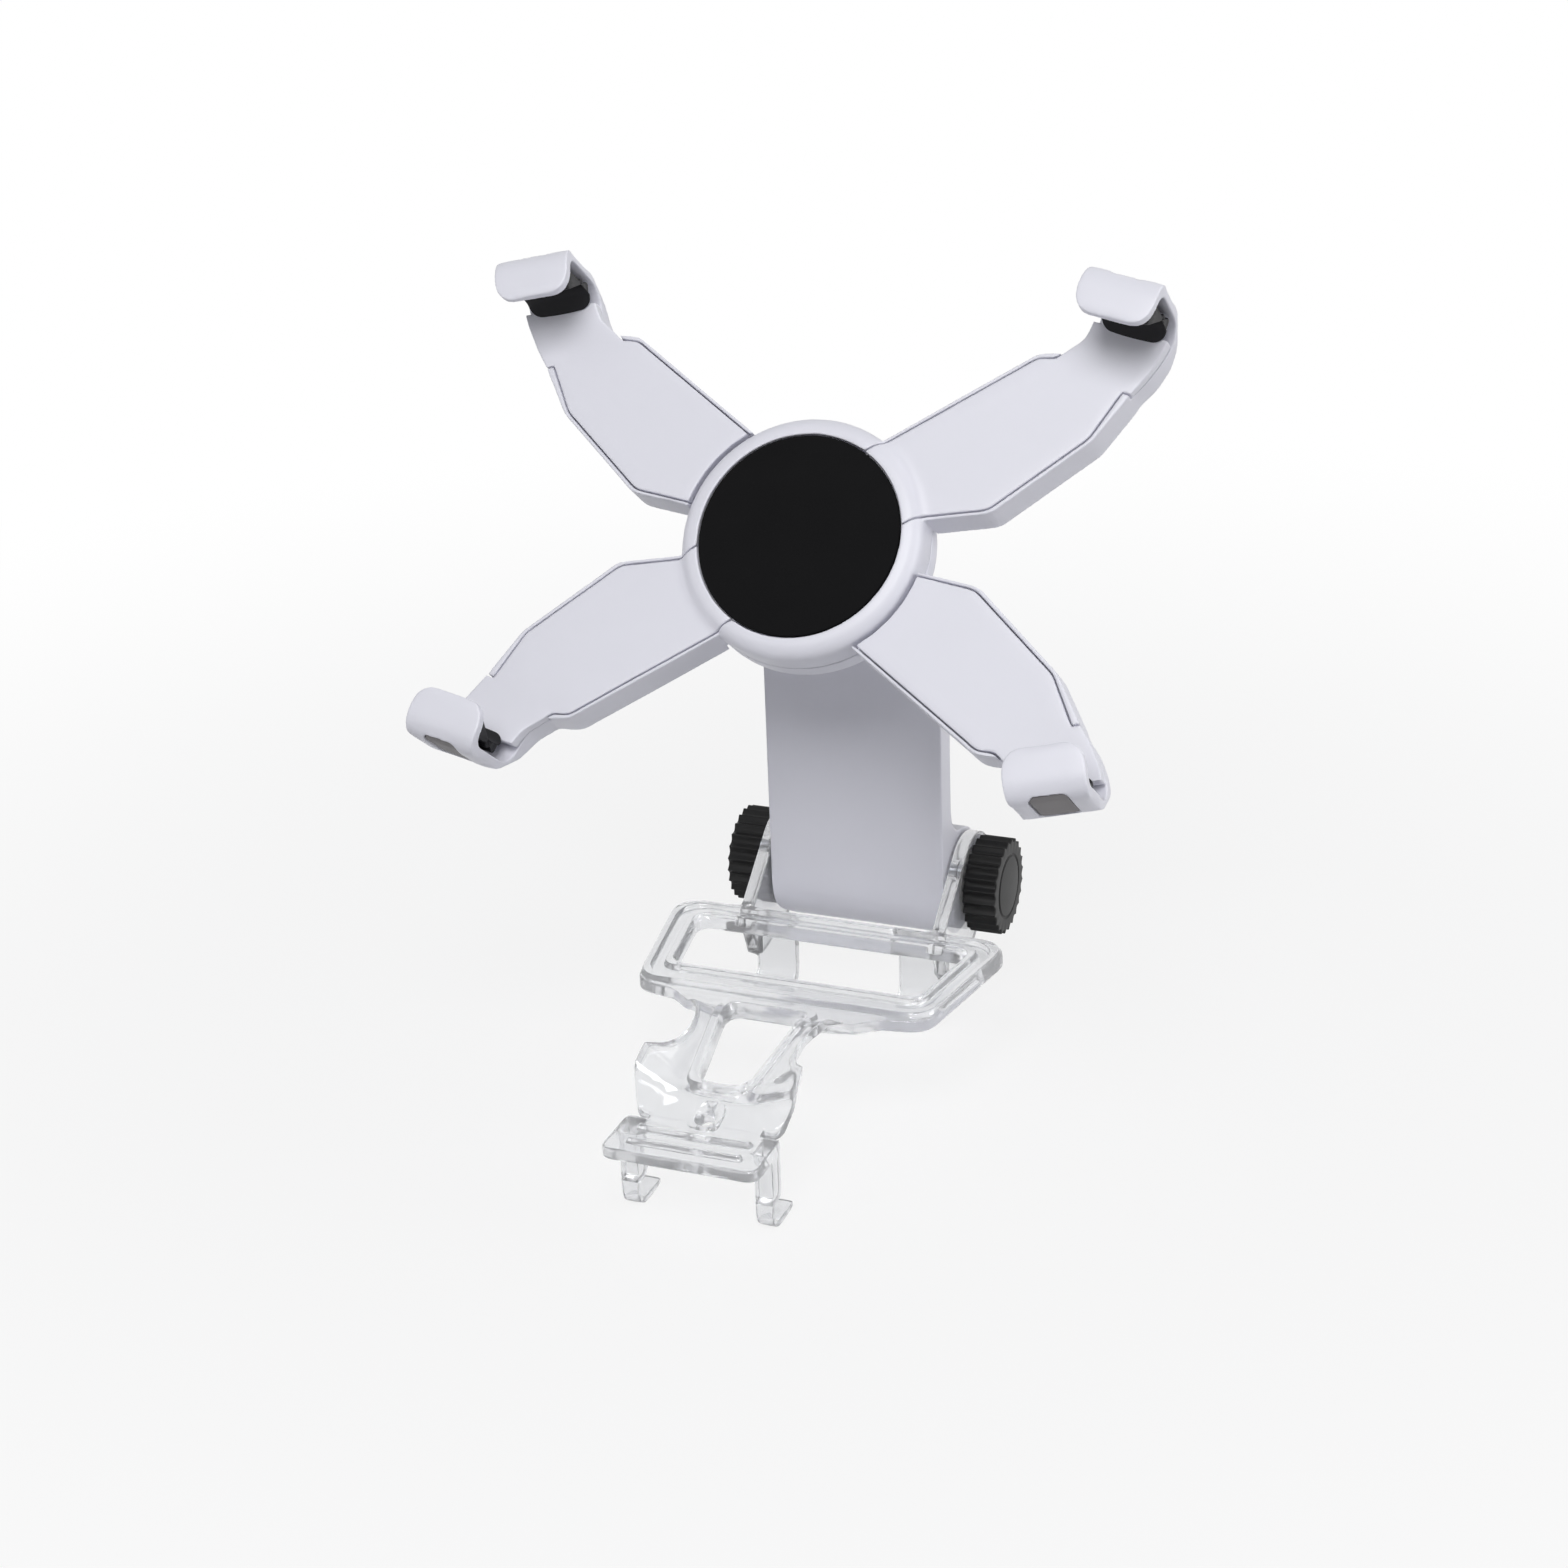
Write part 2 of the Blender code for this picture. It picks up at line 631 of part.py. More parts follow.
def neck_side_outline():
    """The neck from the side: barrel, flat plate and the bend up to the clamp."""
    front = HINGE_Y - BARREL_RADIUS
    middle = front + NECK_THICK / 2.0
    turn = math.radians(CLAMP_TILT)
    back = (middle - CLAMP_Y - NECK_BEND * (1.0 - math.cos(turn))) / math.sin(turn)
    bend_start = CLAMP_Z - back * math.cos(turn) - NECK_BEND * math.sin(turn)
    bend_centre = (middle - NECK_BEND, bend_start)
    inner_bend = arc(bend_centre, NECK_BEND - NECK_THICK / 2.0, 0.0, CLAMP_TILT, 6)
    outer_bend = arc(bend_centre, NECK_BEND + NECK_THICK / 2.0, CLAMP_TILT, 0.0, 6)
    reach = BARREL_RADIUS + NECK_FILLET
    fillet_y = front + NECK_THICK + NECK_FILLET
    fillet_z = HINGE_Z + math.sqrt(reach ** 2 - (fillet_y - HINGE_Y) ** 2)
    touch = math.degrees(math.atan2(fillet_z - HINGE_Z, fillet_y - HINGE_Y))
    blend = arc((fillet_y, fillet_z), NECK_FILLET, 180.0, 180.0 + touch, 4)
    barrel = arc((HINGE_Y, HINGE_Z), BARREL_RADIUS, touch, -180.0, 20)[1:]
    return inner_bend + outer_bend + blend + barrel


def neck():
    """The white moulding between the hinge and the clamp, with its round head."""
    body = extruded(neck_side_outline(), -NECK_HALF, NECK_HALF, SIDE_VIEW)
    low = HINGE_Z - BARREL_RADIUS
    front_outline = mirrored_outline([(NECK_TOP_HALF, CLAMP_Z + 20.0), (NECK_TOP_HALF, NECK_TAPER_HIGH),
                                      (NECK_HALF, NECK_TAPER_LOW), (NECK_HALF, low - 0.1, NECK_CORNER)])
    body = common(body, extruded(rounded(front_outline), -60.0, 60.0, FRONT_VIEW))
    body = bevelled(body, 0.7, 1, 50.0)
    joined(body, cylinder(HEAD_RADIUS, HEAD_BACK, HEAD_FRONT, 28, CLAMP_FRAME))
    cut(body, cylinder(INSERT_RADIUS + GAP, HEAD_BACK + 1.5, HEAD_FRONT + 1.0, 12, CLAMP_FRAME))
    for side in (1.0, -1.0):
        face = HINGE_FRAME @ Matrix.Rotation(math.radians(90.0 * side), 4, "Y")
        outside = NECK_HALF + 1.0
        cut(body, cylinder(WASHER_RADIUS + GAP, WASHER_OUTER - WASHER_THICK - GAP, outside, 12, face),
            cylinder(NUT_RADIUS + GAP, NUT_OUTER - NUT_THICK - GAP, outside, 6, face),
            cylinder(SCREW_RADIUS + GAP, SCREW_INNER_END - 1.0, outside, 12, face))
    return body


def washer(radius, bore, low, high, steps=12):
    """A flat ring."""
    return turned([(radius, high), (radius, low), (bore, low), (bore, high)], steps)


def hinge_side(side, word, parent):
    """Screw, nut, washer and knob of one side of the hinge."""
    face = HINGE_FRAME @ Matrix.Rotation(math.radians(90.0 * side), 4, "Y")
    hinge = {"parent": parent, "parent_frame": HINGE_FRAME, "modelled_in": face}
    nut = cylinder(NUT_RADIUS, NUT_OUTER - NUT_THICK, NUT_OUTER, 6)
    cut(nut, cylinder(SCREW_RADIUS + GAP, 0.0, 2.0 * NECK_HALF, 12))
    finish(nut, "hinge_nut_" + word, BRASS, **hinge)
    ring = washer(WASHER_RADIUS, SCREW_RADIUS + GAP, WASHER_OUTER - WASHER_THICK, WASHER_OUTER)
    finish(ring, "friction_washer_" + word, NYLON, **hinge)
    knob_mark = axis_empty("knob_axis_" + word, face @ Matrix.Translation((0.0, 0.0, KNOB_INNER)))
    knob_frame = face @ Matrix.Translation((0.0, 0.0, KNOB_INNER))
    turning = {"parent": knob_mark, "parent_frame": knob_frame, "modelled_in": face}
    head_end = KNOB_INNER + KNOB_SOCKET_DEPTH - GAP
    screw = joined(cylinder(SCREW_RADIUS, SCREW_INNER_END, head_end - 1.0, 12),
                   cylinder(KNOB_SOCKET - GAP, KNOB_INNER + GAP, head_end, 6))
    finish(screw, "hinge_screw_" + word, ZINC_STEEL, **turning)
    finish(knob(), "knob_" + word, BLACK_PLASTIC, **turning)


def knob():
    """A knob with rounded notches all round, a soft rim and a ring line in its face."""
    points = []
    steps = KNOB_NOTCHES * 3
    for step in range(steps):
        angle = math.tau * step / steps
        wave = (1.0 + math.cos(angle * KNOB_NOTCHES)) / 2.0
        radius = KNOB_RADIUS - KNOB_NOTCH * wave ** 1.5
        points.append((radius * math.cos(angle), radius * math.sin(angle)))
    outer = KNOB_INNER + KNOB_THICK
    body = extruded(points, KNOB_INNER, outer + 1.0)
    groove = KNOB_RADIUS * 0.66
    envelope = turned([(0.0, outer), (groove - 0.6, outer - 0.1), (groove - 0.3, outer - 0.5),
                       (groove + 0.3, outer - 0.5), (groove + 0.6, outer - 0.1),
                       (KNOB_RADIUS - 1.2, outer - 0.3), (KNOB_RADIUS + 1.0, outer - 2.1),
                       (KNOB_RADIUS + 1.0, KNOB_INNER - 2.0), (0.0, KNOB_INNER - 2.0)], KNOB_NOTCHES - 6)
    body = common(body, envelope)
    return cut(body, cylinder(KNOB_SOCKET, KNOB_INNER - 1.0, KNOB_INNER + KNOB_SOCKET_DEPTH, 6))


# Clamp

def cover_corners():
    """The seam line round an arm's cover, from under the pad out to the hook's liner."""
    narrow = [(STRIP_START, NARROW_SIDE), (ARM_ROOT, NARROW_SIDE), (ARM_BEND - 0.3, NARROW_END, 1.5),
              (ARM_BEND + 2.2, NARROW_END - 2.0)]
    wide = [(ARM_NECK - 0.9, -8.2), (ARM_BEND, -WIDE_END, 2.5), (ARM_SHOULDER, -WIDE_SIDE, 2.5),
            (ARM_ROOT, -WIDE_START), (STRIP_START, -WIDE_START)]
    return narrow + inner_neck(0.1) + outer_neck(0.1) + [(ARM_NECK, -9.6)] + wide


def inner_neck(margin):
    """The hook's neck on the arm's narrow side, a margin outside the hook."""
    return [(ARM_TIP - 22.24, 4.6 + margin), (ARM_TIP - 17.04, 4.7 + margin),
            (ARM_TIP - 14.74, 5.8 + margin), (ARM_TIP - 12.84, 7.5 + margin)]


def outer_neck(margin):
    """The hook's neck on the arm's wide side, a margin inside the hook."""
    return [(ARM_TIP - 3.24, margin - 4.5), (ARM_TIP - 6.44, margin - 6.4), (ARM_TIP - 10.44, margin - 8.2)]


def arm_corners():
    """The arm shell's outline, a rim wider than the cover up to the hook's neck."""
    root = ARM_ROOT - 1.8
    narrow = [(root, NARROW_SIDE + 0.1 + RIM), (ARM_BEND - 0.1, NARROW_END + 0.1 + RIM, 1.5),
              (ARM_TIP - 22.24, 5.2)]
    wide = [(ARM_NECK, -9.7), (ARM_BEND + 0.4, -WIDE_END - 0.1 - RIM, 3.0),
            (ARM_SHOULDER, -WIDE_SIDE - 0.2 - RIM, 3.0), (root, 0.7 - WIDE_START - RIM)]
    return narrow + wide


def hook_corners():
    """The hook's outline seen along the pivot, from inside the arm to the hook's wall."""
    near = OUT * HOOK_WALL + ACROSS * HOOK_NEAR
    far = OUT * HOOK_WALL + ACROSS * HOOK_FAR
    wall = [(near.x, near.y, 0.9), (far.x, far.y, 0.9)]
    root = [(ARM_NECK - 0.1, -9.4), (ARM_BEND + 1.4, -9.0), (ARM_BEND + 0.4, 3.4)]
    return inner_neck(0.0) + wall + outer_neck(0.0) + root


def hook():
    """The hook: a wall that rises from the arm's back and curls over to a flat tab."""
    inside = HOOK_WALL - HOOK_WALL_THICK
    floor = RECESS - 0.05
    profile = [(HOOK_ROOT, ARM_BACK + 0.1), (HOOK_WALL - 7.0, ARM_BACK + 0.1, 9.0), (HOOK_WALL, 1.0, 7.0),
               (HOOK_WALL, HOOK_TOP, 4.2), (TAB_END, HOOK_TOP, 0.9), (TAB_END, HOOK_TOP - TAB_THICK, 0.9),
               (inside, HOOK_TOP - TAB_THICK, 2.2), (inside, floor, 5.0), (HOOK_ROOT, floor)]
    body = extruded(rounded(profile), -HOOK_NEAR - 6.0, -HOOK_FAR + 6.0, HOOK_PROFILE_VIEW)
    body = common(body, extruded(rounded(hook_corners()), -20.0, 20.0))
    corner = TAB_END + TAB_CORNER
    edge = TAB_END - 0.1
    bite = [(edge - 3.0, HOOK_FAR - 2.0), (corner, HOOK_FAR - 2.0)]
    bite += arc((corner, HOOK_FAR + TAB_CORNER), TAB_CORNER + 0.1, -90.0, -180.0, 4)
    bite += arc((corner, HOOK_NEAR - TAB_CORNER), TAB_CORNER + 0.1, 180.0, 90.0, 4)
    bite += [(corner, HOOK_NEAR + 2.0), (edge - 3.0, HOOK_NEAR + 2.0)]
    cut(body, extruded(bite, HOOK_TOP - 5.0, HOOK_TOP + 2.0, HOOK_PLAN_VIEW))
    return cut(body, extruded(rounded(hook_window()), HOOK_WALL - 6.0, HOOK_WALL + 2.0, HOOK_WALL_VIEW))


def hook_window():
    """Corners of the window in the hook's wall."""
    middle = (HOOK_NEAR + HOOK_FAR) / 2.0
    return [(middle - WINDOW_HALF, WINDOW_LOW, 1.4), (middle + WINDOW_HALF, WINDOW_LOW, 1.4),
            (middle + WINDOW_HALF, WINDOW_HIGH, 1.4), (middle - WINDOW_HALF, WINDOW_HIGH, 1.4)]


def arm_body():
    """The back half of an arm, bored for its two cover screws."""
    body = bevelled(extruded(rounded(arm_corners()), ARM_BACK, ARM_FRONT), 0.5, 1, 60.0)
    for x, y in COVER_SCREWS:
        place = Matrix.Translation((x, y, 0.0))
        cut(body, cylinder(COVER_SCREW_HEAD + GAP, ARM_BACK - 1.0, COVER_SCREW_SEAT, 8, place),
            cylinder(COVER_SCREW_BORE, ARM_BACK - 1.0, ARM_FRONT + 1.0, 6, place))
    return body


def cover_slab():
    """A wide slab with an arm cover's front and back, which curves up towards the hook's liner."""
    back = ARM_FRONT - COVER_THICK
    profile = [(0.0, ARM_FRONT), (COVER_END - 8.2, ARM_FRONT), (COVER_END - 5.2, ARM_FRONT + 0.2),
               (COVER_END - 2.6, ARM_FRONT + 0.7), (COVER_END, ARM_FRONT + 1.6), (COVER_END, back + 0.4),
               (COVER_END - 3.2, back), (0.0, back)]
    far = ARM_TIP + 8.0
    start = [(COVER_START, -30.0), (far, -30.0), (far, 30.0), (COVER_START, 30.0)]
    body = extruded(profile, -20.0, 20.0 - HOOK_FAR, HOOK_PROFILE_VIEW)
    common(body, extruded(start, -20.0, 20.0))
    for x, y in COVER_SCREWS:
        pilot = cylinder(COVER_SCREW_BORE, back - 1.0, back + 1.2, 6, Matrix.Translation((x, y, 0.0)))
        cut(body, pilot)
    return body


def hook_liner():
    """The rubber liner inside a hook, grooved along its middle, with a lug in the window."""
    outside = HOOK_WALL - HOOK_WALL_THICK - GAP
    inside = outside - LINER_THICK
    top = HOOK_TOP - TAB_THICK - GAP
    low = ARM_FRONT - COVER_THICK + 0.2
    groove = (WINDOW_LOW + WINDOW_HIGH) / 2.0 - 2.0
    profile = [(COVER_END + GAP, low), (outside, low, 5.0), (outside, top, 1.9), (TAB_END + 1.6, top),
               (TAB_END + 1.6, top - LINER_THICK, 0.5), (inside, top - LINER_THICK, 1.4),
               (inside, groove + 0.9), (inside + 0.8, groove + 0.3), (inside + 0.8, groove - 0.3),
               (inside, groove - 0.9), (inside, ARM_FRONT + 1.6, 1.6), (COVER_END + GAP, ARM_FRONT + 1.6)]
    body = extruded(rounded(profile), LINER_INSET - HOOK_NEAR, -LINER_INSET - HOOK_FAR, HOOK_PROFILE_VIEW)
    lug = extruded(rounded(grown(hook_window(), -GAP)), outside - 0.6, HOOK_WALL - 0.7, HOOK_WALL_VIEW)
    return joined(body, lug)


def cover_screw():
    """A small pan-head screw seated in an arm's back."""
    seat = COVER_SCREW_SEAT - GAP
    return joined(cylinder(COVER_SCREW_BORE - GAP, seat - 0.5, ARM_FRONT - COVER_THICK + 0.9, 6),
                  cylinder(COVER_SCREW_HEAD, seat - 1.6, seat, 8))


def front_hub():
    """The front ring and its floor, with room for the bolt's head and half the friction disc."""
    inner = PAD_RADIUS + GAP
    floor = ARM_FRONT - COVER_THICK - GAP
    body = turned([(RING_LAND, 0.0), (RING_RADIUS, -RING_CHAMFER), (RING_RADIUS, FRONT_HUB_BACK),
                   (0.0, FRONT_HUB_BACK), (0.0, floor), (inner, floor), (inner, 0.0)], RING_STEPS)
    top = FRONT_HUB_BACK + DISC_ROOM
    return cut(body, washer(DISC_OUTER, DISC_INNER, FRONT_HUB_BACK - 1.0, top, 20),
               cylinder(PIVOT_ROOM, PIVOT_SEAT, 1.0, 16),
               cylinder(PIVOT_RADIUS + GAP, FRONT_HUB_BACK - 1.0, 1.0, 12))


def rear_hub():
    """The second ring, behind the first, with the other half of the friction disc's room."""
    top = FRONT_HUB_BACK - GAP
    body = turned([(RING_RADIUS, top), (RING_RADIUS, REAR_HUB_BACK + 1.0),
                   (RING_RADIUS - 1.0, REAR_HUB_BACK), (0.0, REAR_HUB_BACK), (0.0, top)], RING_STEPS)
    return cut(body, washer(DISC_OUTER, DISC_INNER, top - DISC_ROOM, top + 1.0, 20),
               cylinder(PIVOT_RADIUS + GAP, REAR_HUB_BACK - 1.0, top + 1.0, 12))


def arm_turns(angle, mirror):
    """Where the two arms of a bar stand: the upper one first."""
    first = Matrix.Rotation(math.radians(angle), 4, "Z")
    if mirror:
        first = Matrix.Scale(-1.0, 4, (1.0, 0.0, 0.0)) @ first
    return first, Matrix.Rotation(math.radians(180.0), 4, "Z") @ first


def bar_shell(hub, turns, low, high):
    """A hub with two arms and hooks, cleared of the other bar's ring and let in for the covers."""
    arm = arm_body()
    jaw = hook()
    seat = rounded(grown(cover_corners(), GAP))
    for turn in turns:
        joined(hub, cut(copied(arm, turn), cylinder(RING_RADIUS + 0.5, low, high, RING_STEPS)))
        cut(hub, extruded(seat, RECESS, 3.0, turn))
        joined(hub, copied(jaw, turn))
    for used in (arm, jaw):
        bpy.data.objects.remove(used)
    return hub


def front_bar_cover(turns):
    """The strip that covers both arms of the front bar and crosses the ring."""
    back = ARM_FRONT - COVER_THICK
    floor = -PAD_THICK - GAP
    inner = PAD_RADIUS + GAP
    body = turned([(PIVOT_ROOM, floor), (inner, floor), (inner, 0.0), (RING_LAND, 0.0),
                   (RING_RADIUS, -RING_CHAMFER), (RING_RADIUS, back + 0.1), (PIVOT_ROOM, back + 0.1)],
                  RING_STEPS)
    slab = cover_slab()
    plan = cylinder(PAD_RADIUS, -22.0, 22.0, RING_STEPS)
    for turn, height in zip(turns, (20.0, 21.0)):
        joined(body, copied(slab, turn))
        joined(plan, extruded(rounded(cover_corners()), -height, height, turn))
    bpy.data.objects.remove(slab)
    return common(body, plan)


def arm_cover(turn):
    """The cover of one arm of the rear bar, with an end that follows the front ring."""
    body = common(cover_slab(), extruded(rounded(cover_corners()), -20.0, 20.0))
    return moved(cut(body, cylinder(RING_RADIUS + 0.8, -20.0, 5.0, RING_STEPS)), turn)


def pivot_bolt():
    """The shoulder bolt through the hub, threaded into the neck's head."""
    head_back = PIVOT_SEAT + GAP + 0.7 + GAP
    shoulder_end = HEAD_FRONT - 0.4
    return turned([(0.0, PIVOT_HEAD_FRONT - 1.2), (2.0, PIVOT_HEAD_FRONT - 1.2), (2.0, PIVOT_HEAD_FRONT),
                   (PIVOT_HEAD - 0.5, PIVOT_HEAD_FRONT), (PIVOT_HEAD, PIVOT_HEAD_FRONT - 0.5),
                   (PIVOT_HEAD, head_back), (PIVOT_RADIUS, head_back), (PIVOT_RADIUS, shoulder_end),
                   (PIVOT_THREAD, shoulder_end), (PIVOT_THREAD, PIVOT_END), (0.0, PIVOT_END)], 12)


def arm_details(bar, words, turns, liner, screw):
    """Liners and cover screws of a bar's two arms."""
    for word, turn in zip(words, turns):
        finish(copied(liner, turn), "hook_pad_" + word, BLACK_RUBBER, **bar)
        for place, (x, y) in zip(("inner", "outer"), COVER_SCREWS):
            seated = copied(screw, turn @ Matrix.Translation((x, y, 0.0)))
            finish(seated, "cover_screw_" + word + "_" + place, ZINC_STEEL, **bar)


def clamp(parent):
    """Both bars of the clamp with all that rides on them."""
    head = {"parent": parent, "parent_frame": CLAMP_FRAME, "modelled_in": CLAMP_FRAME}
    liner = hook_liner()
    screw = cover_screw()
    front_turns = arm_turns(FRONT_BAR_ANGLE, False)
    rear_turns = arm_turns(REAR_BAR_ANGLE, True)
    front = bar_shell(front_hub(), front_turns, ARM_BACK - 5.0, FRONT_HUB_BACK + 0.1)
    finish(front, "front_bar_shell", WHITE_PLASTIC, **head)
    rear = bar_shell(rear_hub(), rear_turns, FRONT_HUB_BACK - GAP - 0.1, 5.0)
    finish(rear, "rear_bar_shell", WHITE_PLASTIC, **head)
    finish(front_bar_cover(front_turns), "front_bar_cover", WHITE_PLASTIC, **head)
    for word, turn in zip(("upper_left", "lower_right"), rear_turns):
        finish(arm_cover(turn), "arm_cover_" + word, WHITE_PLASTIC, **head)
    arm_details(head, ("upper_right", "lower_left"), front_turns, liner, screw)
    arm_details(head, ("upper_left", "lower_right"), rear_turns, liner, screw)
    for used in (liner, screw):
        bpy.data.objects.remove(used)
    finish(cylinder(PAD_RADIUS, -PAD_THICK, 0.0, RING_STEPS), "centre_pad", BLACK_RUBBER, **head)
    finish(pivot_bolt(), "pivot_bolt", ZINC_STEEL, **head)
    seat = PIVOT_SEAT + GAP
    spacer = washer(PIVOT_HEAD + 0.6, PIVOT_RADIUS + GAP, seat, seat + 0.7)
    finish(spacer, "pivot_washer", ZINC_STEEL, **head)
    insert = washer(INSERT_RADIUS, PIVOT_THREAD + GAP, HEAD_BACK + 2.0, HEAD_FRONT - 0.7)
    finish(insert, "pivot_insert", BRASS, **head)
    table = washer(HEAD_RADIUS - 1.5, PIVOT_RADIUS + GAP, HEAD_FRONT + GAP, REAR_HUB_BACK - GAP, 16)
    finish(table, "turntable_washer", NYLON, **head)
    low = FRONT_HUB_BACK - DISC_ROOM
    disc = washer(DISC_OUTER - GAP, DISC_INNER + GAP, low, FRONT_HUB_BACK + DISC_ROOM - GAP, 16)
    finish(disc, "friction_disc", NYLON, **head)


def main():
    """Build every piece."""
    hinge_mark = axis_empty("hinge_axis", HINGE_FRAME)
    clamp_mark = axis_empty("clamp_axis", CLAMP_FRAME)
    clear_bracket()
    finish(neck(), "neck", WHITE_PLASTIC, hinge_mark, HINGE_FRAME)
    hinge_side(1.0, "right", hinge_mark)
    hinge_side(-1.0, "left", hinge_mark)
    clamp(clamp_mark)


main()
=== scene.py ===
"""Looks of the controller phone clip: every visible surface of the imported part, dressed and lit.

Shapes are worked in millimetres, in the row frame, and scaled to metres when a piece is finished.
The origin lies under the middle of the bracket's rear bar, +Y points away from the player and +Z
off the controller's face.
"""
import sys

import logging
import math
from dataclasses import dataclass, field
from enum import Enum
from typing import Sequence

import bmesh
import bpy
import numpy as np
from mathutils import Matrix, Vector


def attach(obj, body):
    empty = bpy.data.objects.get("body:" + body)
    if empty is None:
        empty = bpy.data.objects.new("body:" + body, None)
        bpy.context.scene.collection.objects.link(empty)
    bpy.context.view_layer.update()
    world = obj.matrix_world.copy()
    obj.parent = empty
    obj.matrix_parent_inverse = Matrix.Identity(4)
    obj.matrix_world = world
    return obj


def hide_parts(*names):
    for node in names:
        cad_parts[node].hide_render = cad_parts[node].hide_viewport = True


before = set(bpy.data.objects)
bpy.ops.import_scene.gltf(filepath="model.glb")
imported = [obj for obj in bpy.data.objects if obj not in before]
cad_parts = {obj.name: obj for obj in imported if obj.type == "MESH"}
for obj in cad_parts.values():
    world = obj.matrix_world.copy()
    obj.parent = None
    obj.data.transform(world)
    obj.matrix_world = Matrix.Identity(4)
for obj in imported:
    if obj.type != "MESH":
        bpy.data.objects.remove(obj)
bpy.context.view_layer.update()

MILLIMETRE = 0.001
FLAT_MARGIN = 14
DRIFT_MM = 14.0
LOG = logging.getLogger("controller_phone_clip")


# Finishes

def linear(hex_colour: str) -> tuple[float, float, float, float]:
    """Turn an sRGB hex colour to linear.

    Args:
        hex_colour: The colour as "#RRGGBB".

    Returns:
        Linear red, green and blue, and an alpha of 1.
    """
    channels = [int(hex_colour[i:i + 2], 16) / 255.0 for i in (1, 3, 5)]
    turned = [c / 12.92 if c <= 0.04045 else ((c + 0.055) / 1.055) ** 2.4 for c in channels]
    return (*turned, 1.0)


def add_node(tree: bpy.types.NodeTree, kind: str, inputs: dict | None = None, **settings) -> bpy.types.Node:
    """Add one node with its settings, values and links.

    Args:
        tree: The tree that gets the node.
        kind: The node's type name.
        inputs: Socket name or index, and the value it gets or the socket it is linked to.
        settings: The node's own properties.

    Returns:
        The new node.
    """
    made = tree.nodes.new(kind)
    for name, value in settings.items():
        setattr(made, name, value)
    for key, value in (inputs or {}).items():
        socket = made.inputs[key]
        if isinstance(value, bpy.types.NodeSocket):
            tree.links.new(value, socket)
        else:
            socket.default_value = value
    return made


class Surface(Enum):
    """How a finish's surface was made, which decides the pattern it carries."""

    SPARK_ERODED = "spark eroded"
    POLISHED = "polished mould"
    TURNED = "turned on a lathe"
    MATT_RUBBER = "matt moulded rubber"


@dataclass(frozen=True)
class Finish:
    """A procedural material: a colour that drifts a little, and a fine relief on its surface."""

    name: str
    colour: str
    roughness: float
    surface: Surface
    ior: float = 1.5
    metallic: float = 0.0
    transmission: float = 0.0
    drift: float = 0.03
    grain_mm: float = 0.25
    relief_mm: float = 0.004
    gloss: float = 0.5

    def material(self) -> bpy.types.Material:
        """Build the material, or return it where it has been built.

        Returns:
            The node-based material.
        """
        if self.name in bpy.data.materials:
            return bpy.data.materials[self.name]
        made = bpy.data.materials.new(self.name)
        made.use_nodes = True
        tree = made.node_tree
        tree.nodes.clear()
        place = add_node(tree, "ShaderNodeTexCoord").outputs["Object"]
        relief = self.relief(tree, place)
        cloud = add_node(tree, "ShaderNodeTexNoise", {"Vector": place, "Detail": 3.0, "Roughness": 0.55,
                                                      "Scale": 1.0 / (DRIFT_MM * MILLIMETRE)})
        base = linear(self.colour)
        low = (*[c * (1.0 - self.drift) for c in base[:3]], 1.0)
        high = (*[min(1.0, c * (1.0 + self.drift)) for c in base[:3]], 1.0)
        tone = add_node(tree, "ShaderNodeMix", {"Factor": cloud.outputs["Fac"], 6: low, 7: high},
                        data_type="RGBA")
        satin = add_node(tree, "ShaderNodeMapRange", {"Value": cloud.outputs["Fac"], "From Min": 0.3,
                                                      "From Max": 0.7, "To Min": self.roughness * 0.93,
                                                      "To Max": min(1.0, self.roughness * 1.07)})
        shader = add_node(tree, "ShaderNodeBsdfPrincipled", {
            "Base Color": tone.outputs[2], "Roughness": satin.outputs["Result"], "Normal": relief,
            "Metallic": self.metallic, "Transmission Weight": self.transmission,
            "Specular IOR Level": self.gloss})
        if self.metallic == 0.0:
            shader.inputs["IOR"].default_value = self.ior
        add_node(tree, "ShaderNodeOutputMaterial", {"Surface": shader.outputs["BSDF"]})
        return made

    def relief(self, tree: bpy.types.NodeTree, place: bpy.types.NodeSocket) -> bpy.types.NodeSocket:
        """Add the fine relief that the way of making leaves.

        Args:
            tree: The material's tree.
            place: The coordinates the pattern is laid out on.

        Returns:
            The bumped normal.
        """
        if self.surface is Surface.TURNED:
            stretch = add_node(tree, "ShaderNodeMapping", {"Vector": place, "Scale": (1.0, 0.05, 0.05)})
            pattern = add_node(tree, "ShaderNodeTexNoise", {"Vector": stretch.outputs["Vector"],
                                                            "Scale": 1.0 / (self.grain_mm * MILLIMETRE),
                                                            "Detail": 2.0})
            height = pattern.outputs["Fac"]
        elif self.surface is Surface.POLISHED:
            pattern = add_node(tree, "ShaderNodeTexNoise", {"Vector": place, "Detail": 1.0,
                                                            "Scale": 1.0 / (self.grain_mm * MILLIMETRE)})
            height = pattern.outputs["Fac"]
        else:
            pattern = add_node(tree, "ShaderNodeTexVoronoi", {"Vector": place, "Randomness": 1.0,
                                                              "Scale": 1.0 / (self.grain_mm * MILLIMETRE)},
                               feature="SMOOTH_F1")
            height = pattern.outputs["Distance"]
        bump = add_node(tree, "ShaderNodeBump", {"Height": height, "Strength": 1.0,
                                                 "Distance": self.relief_mm * MILLIMETRE})
        return bump.outputs["Normal"]


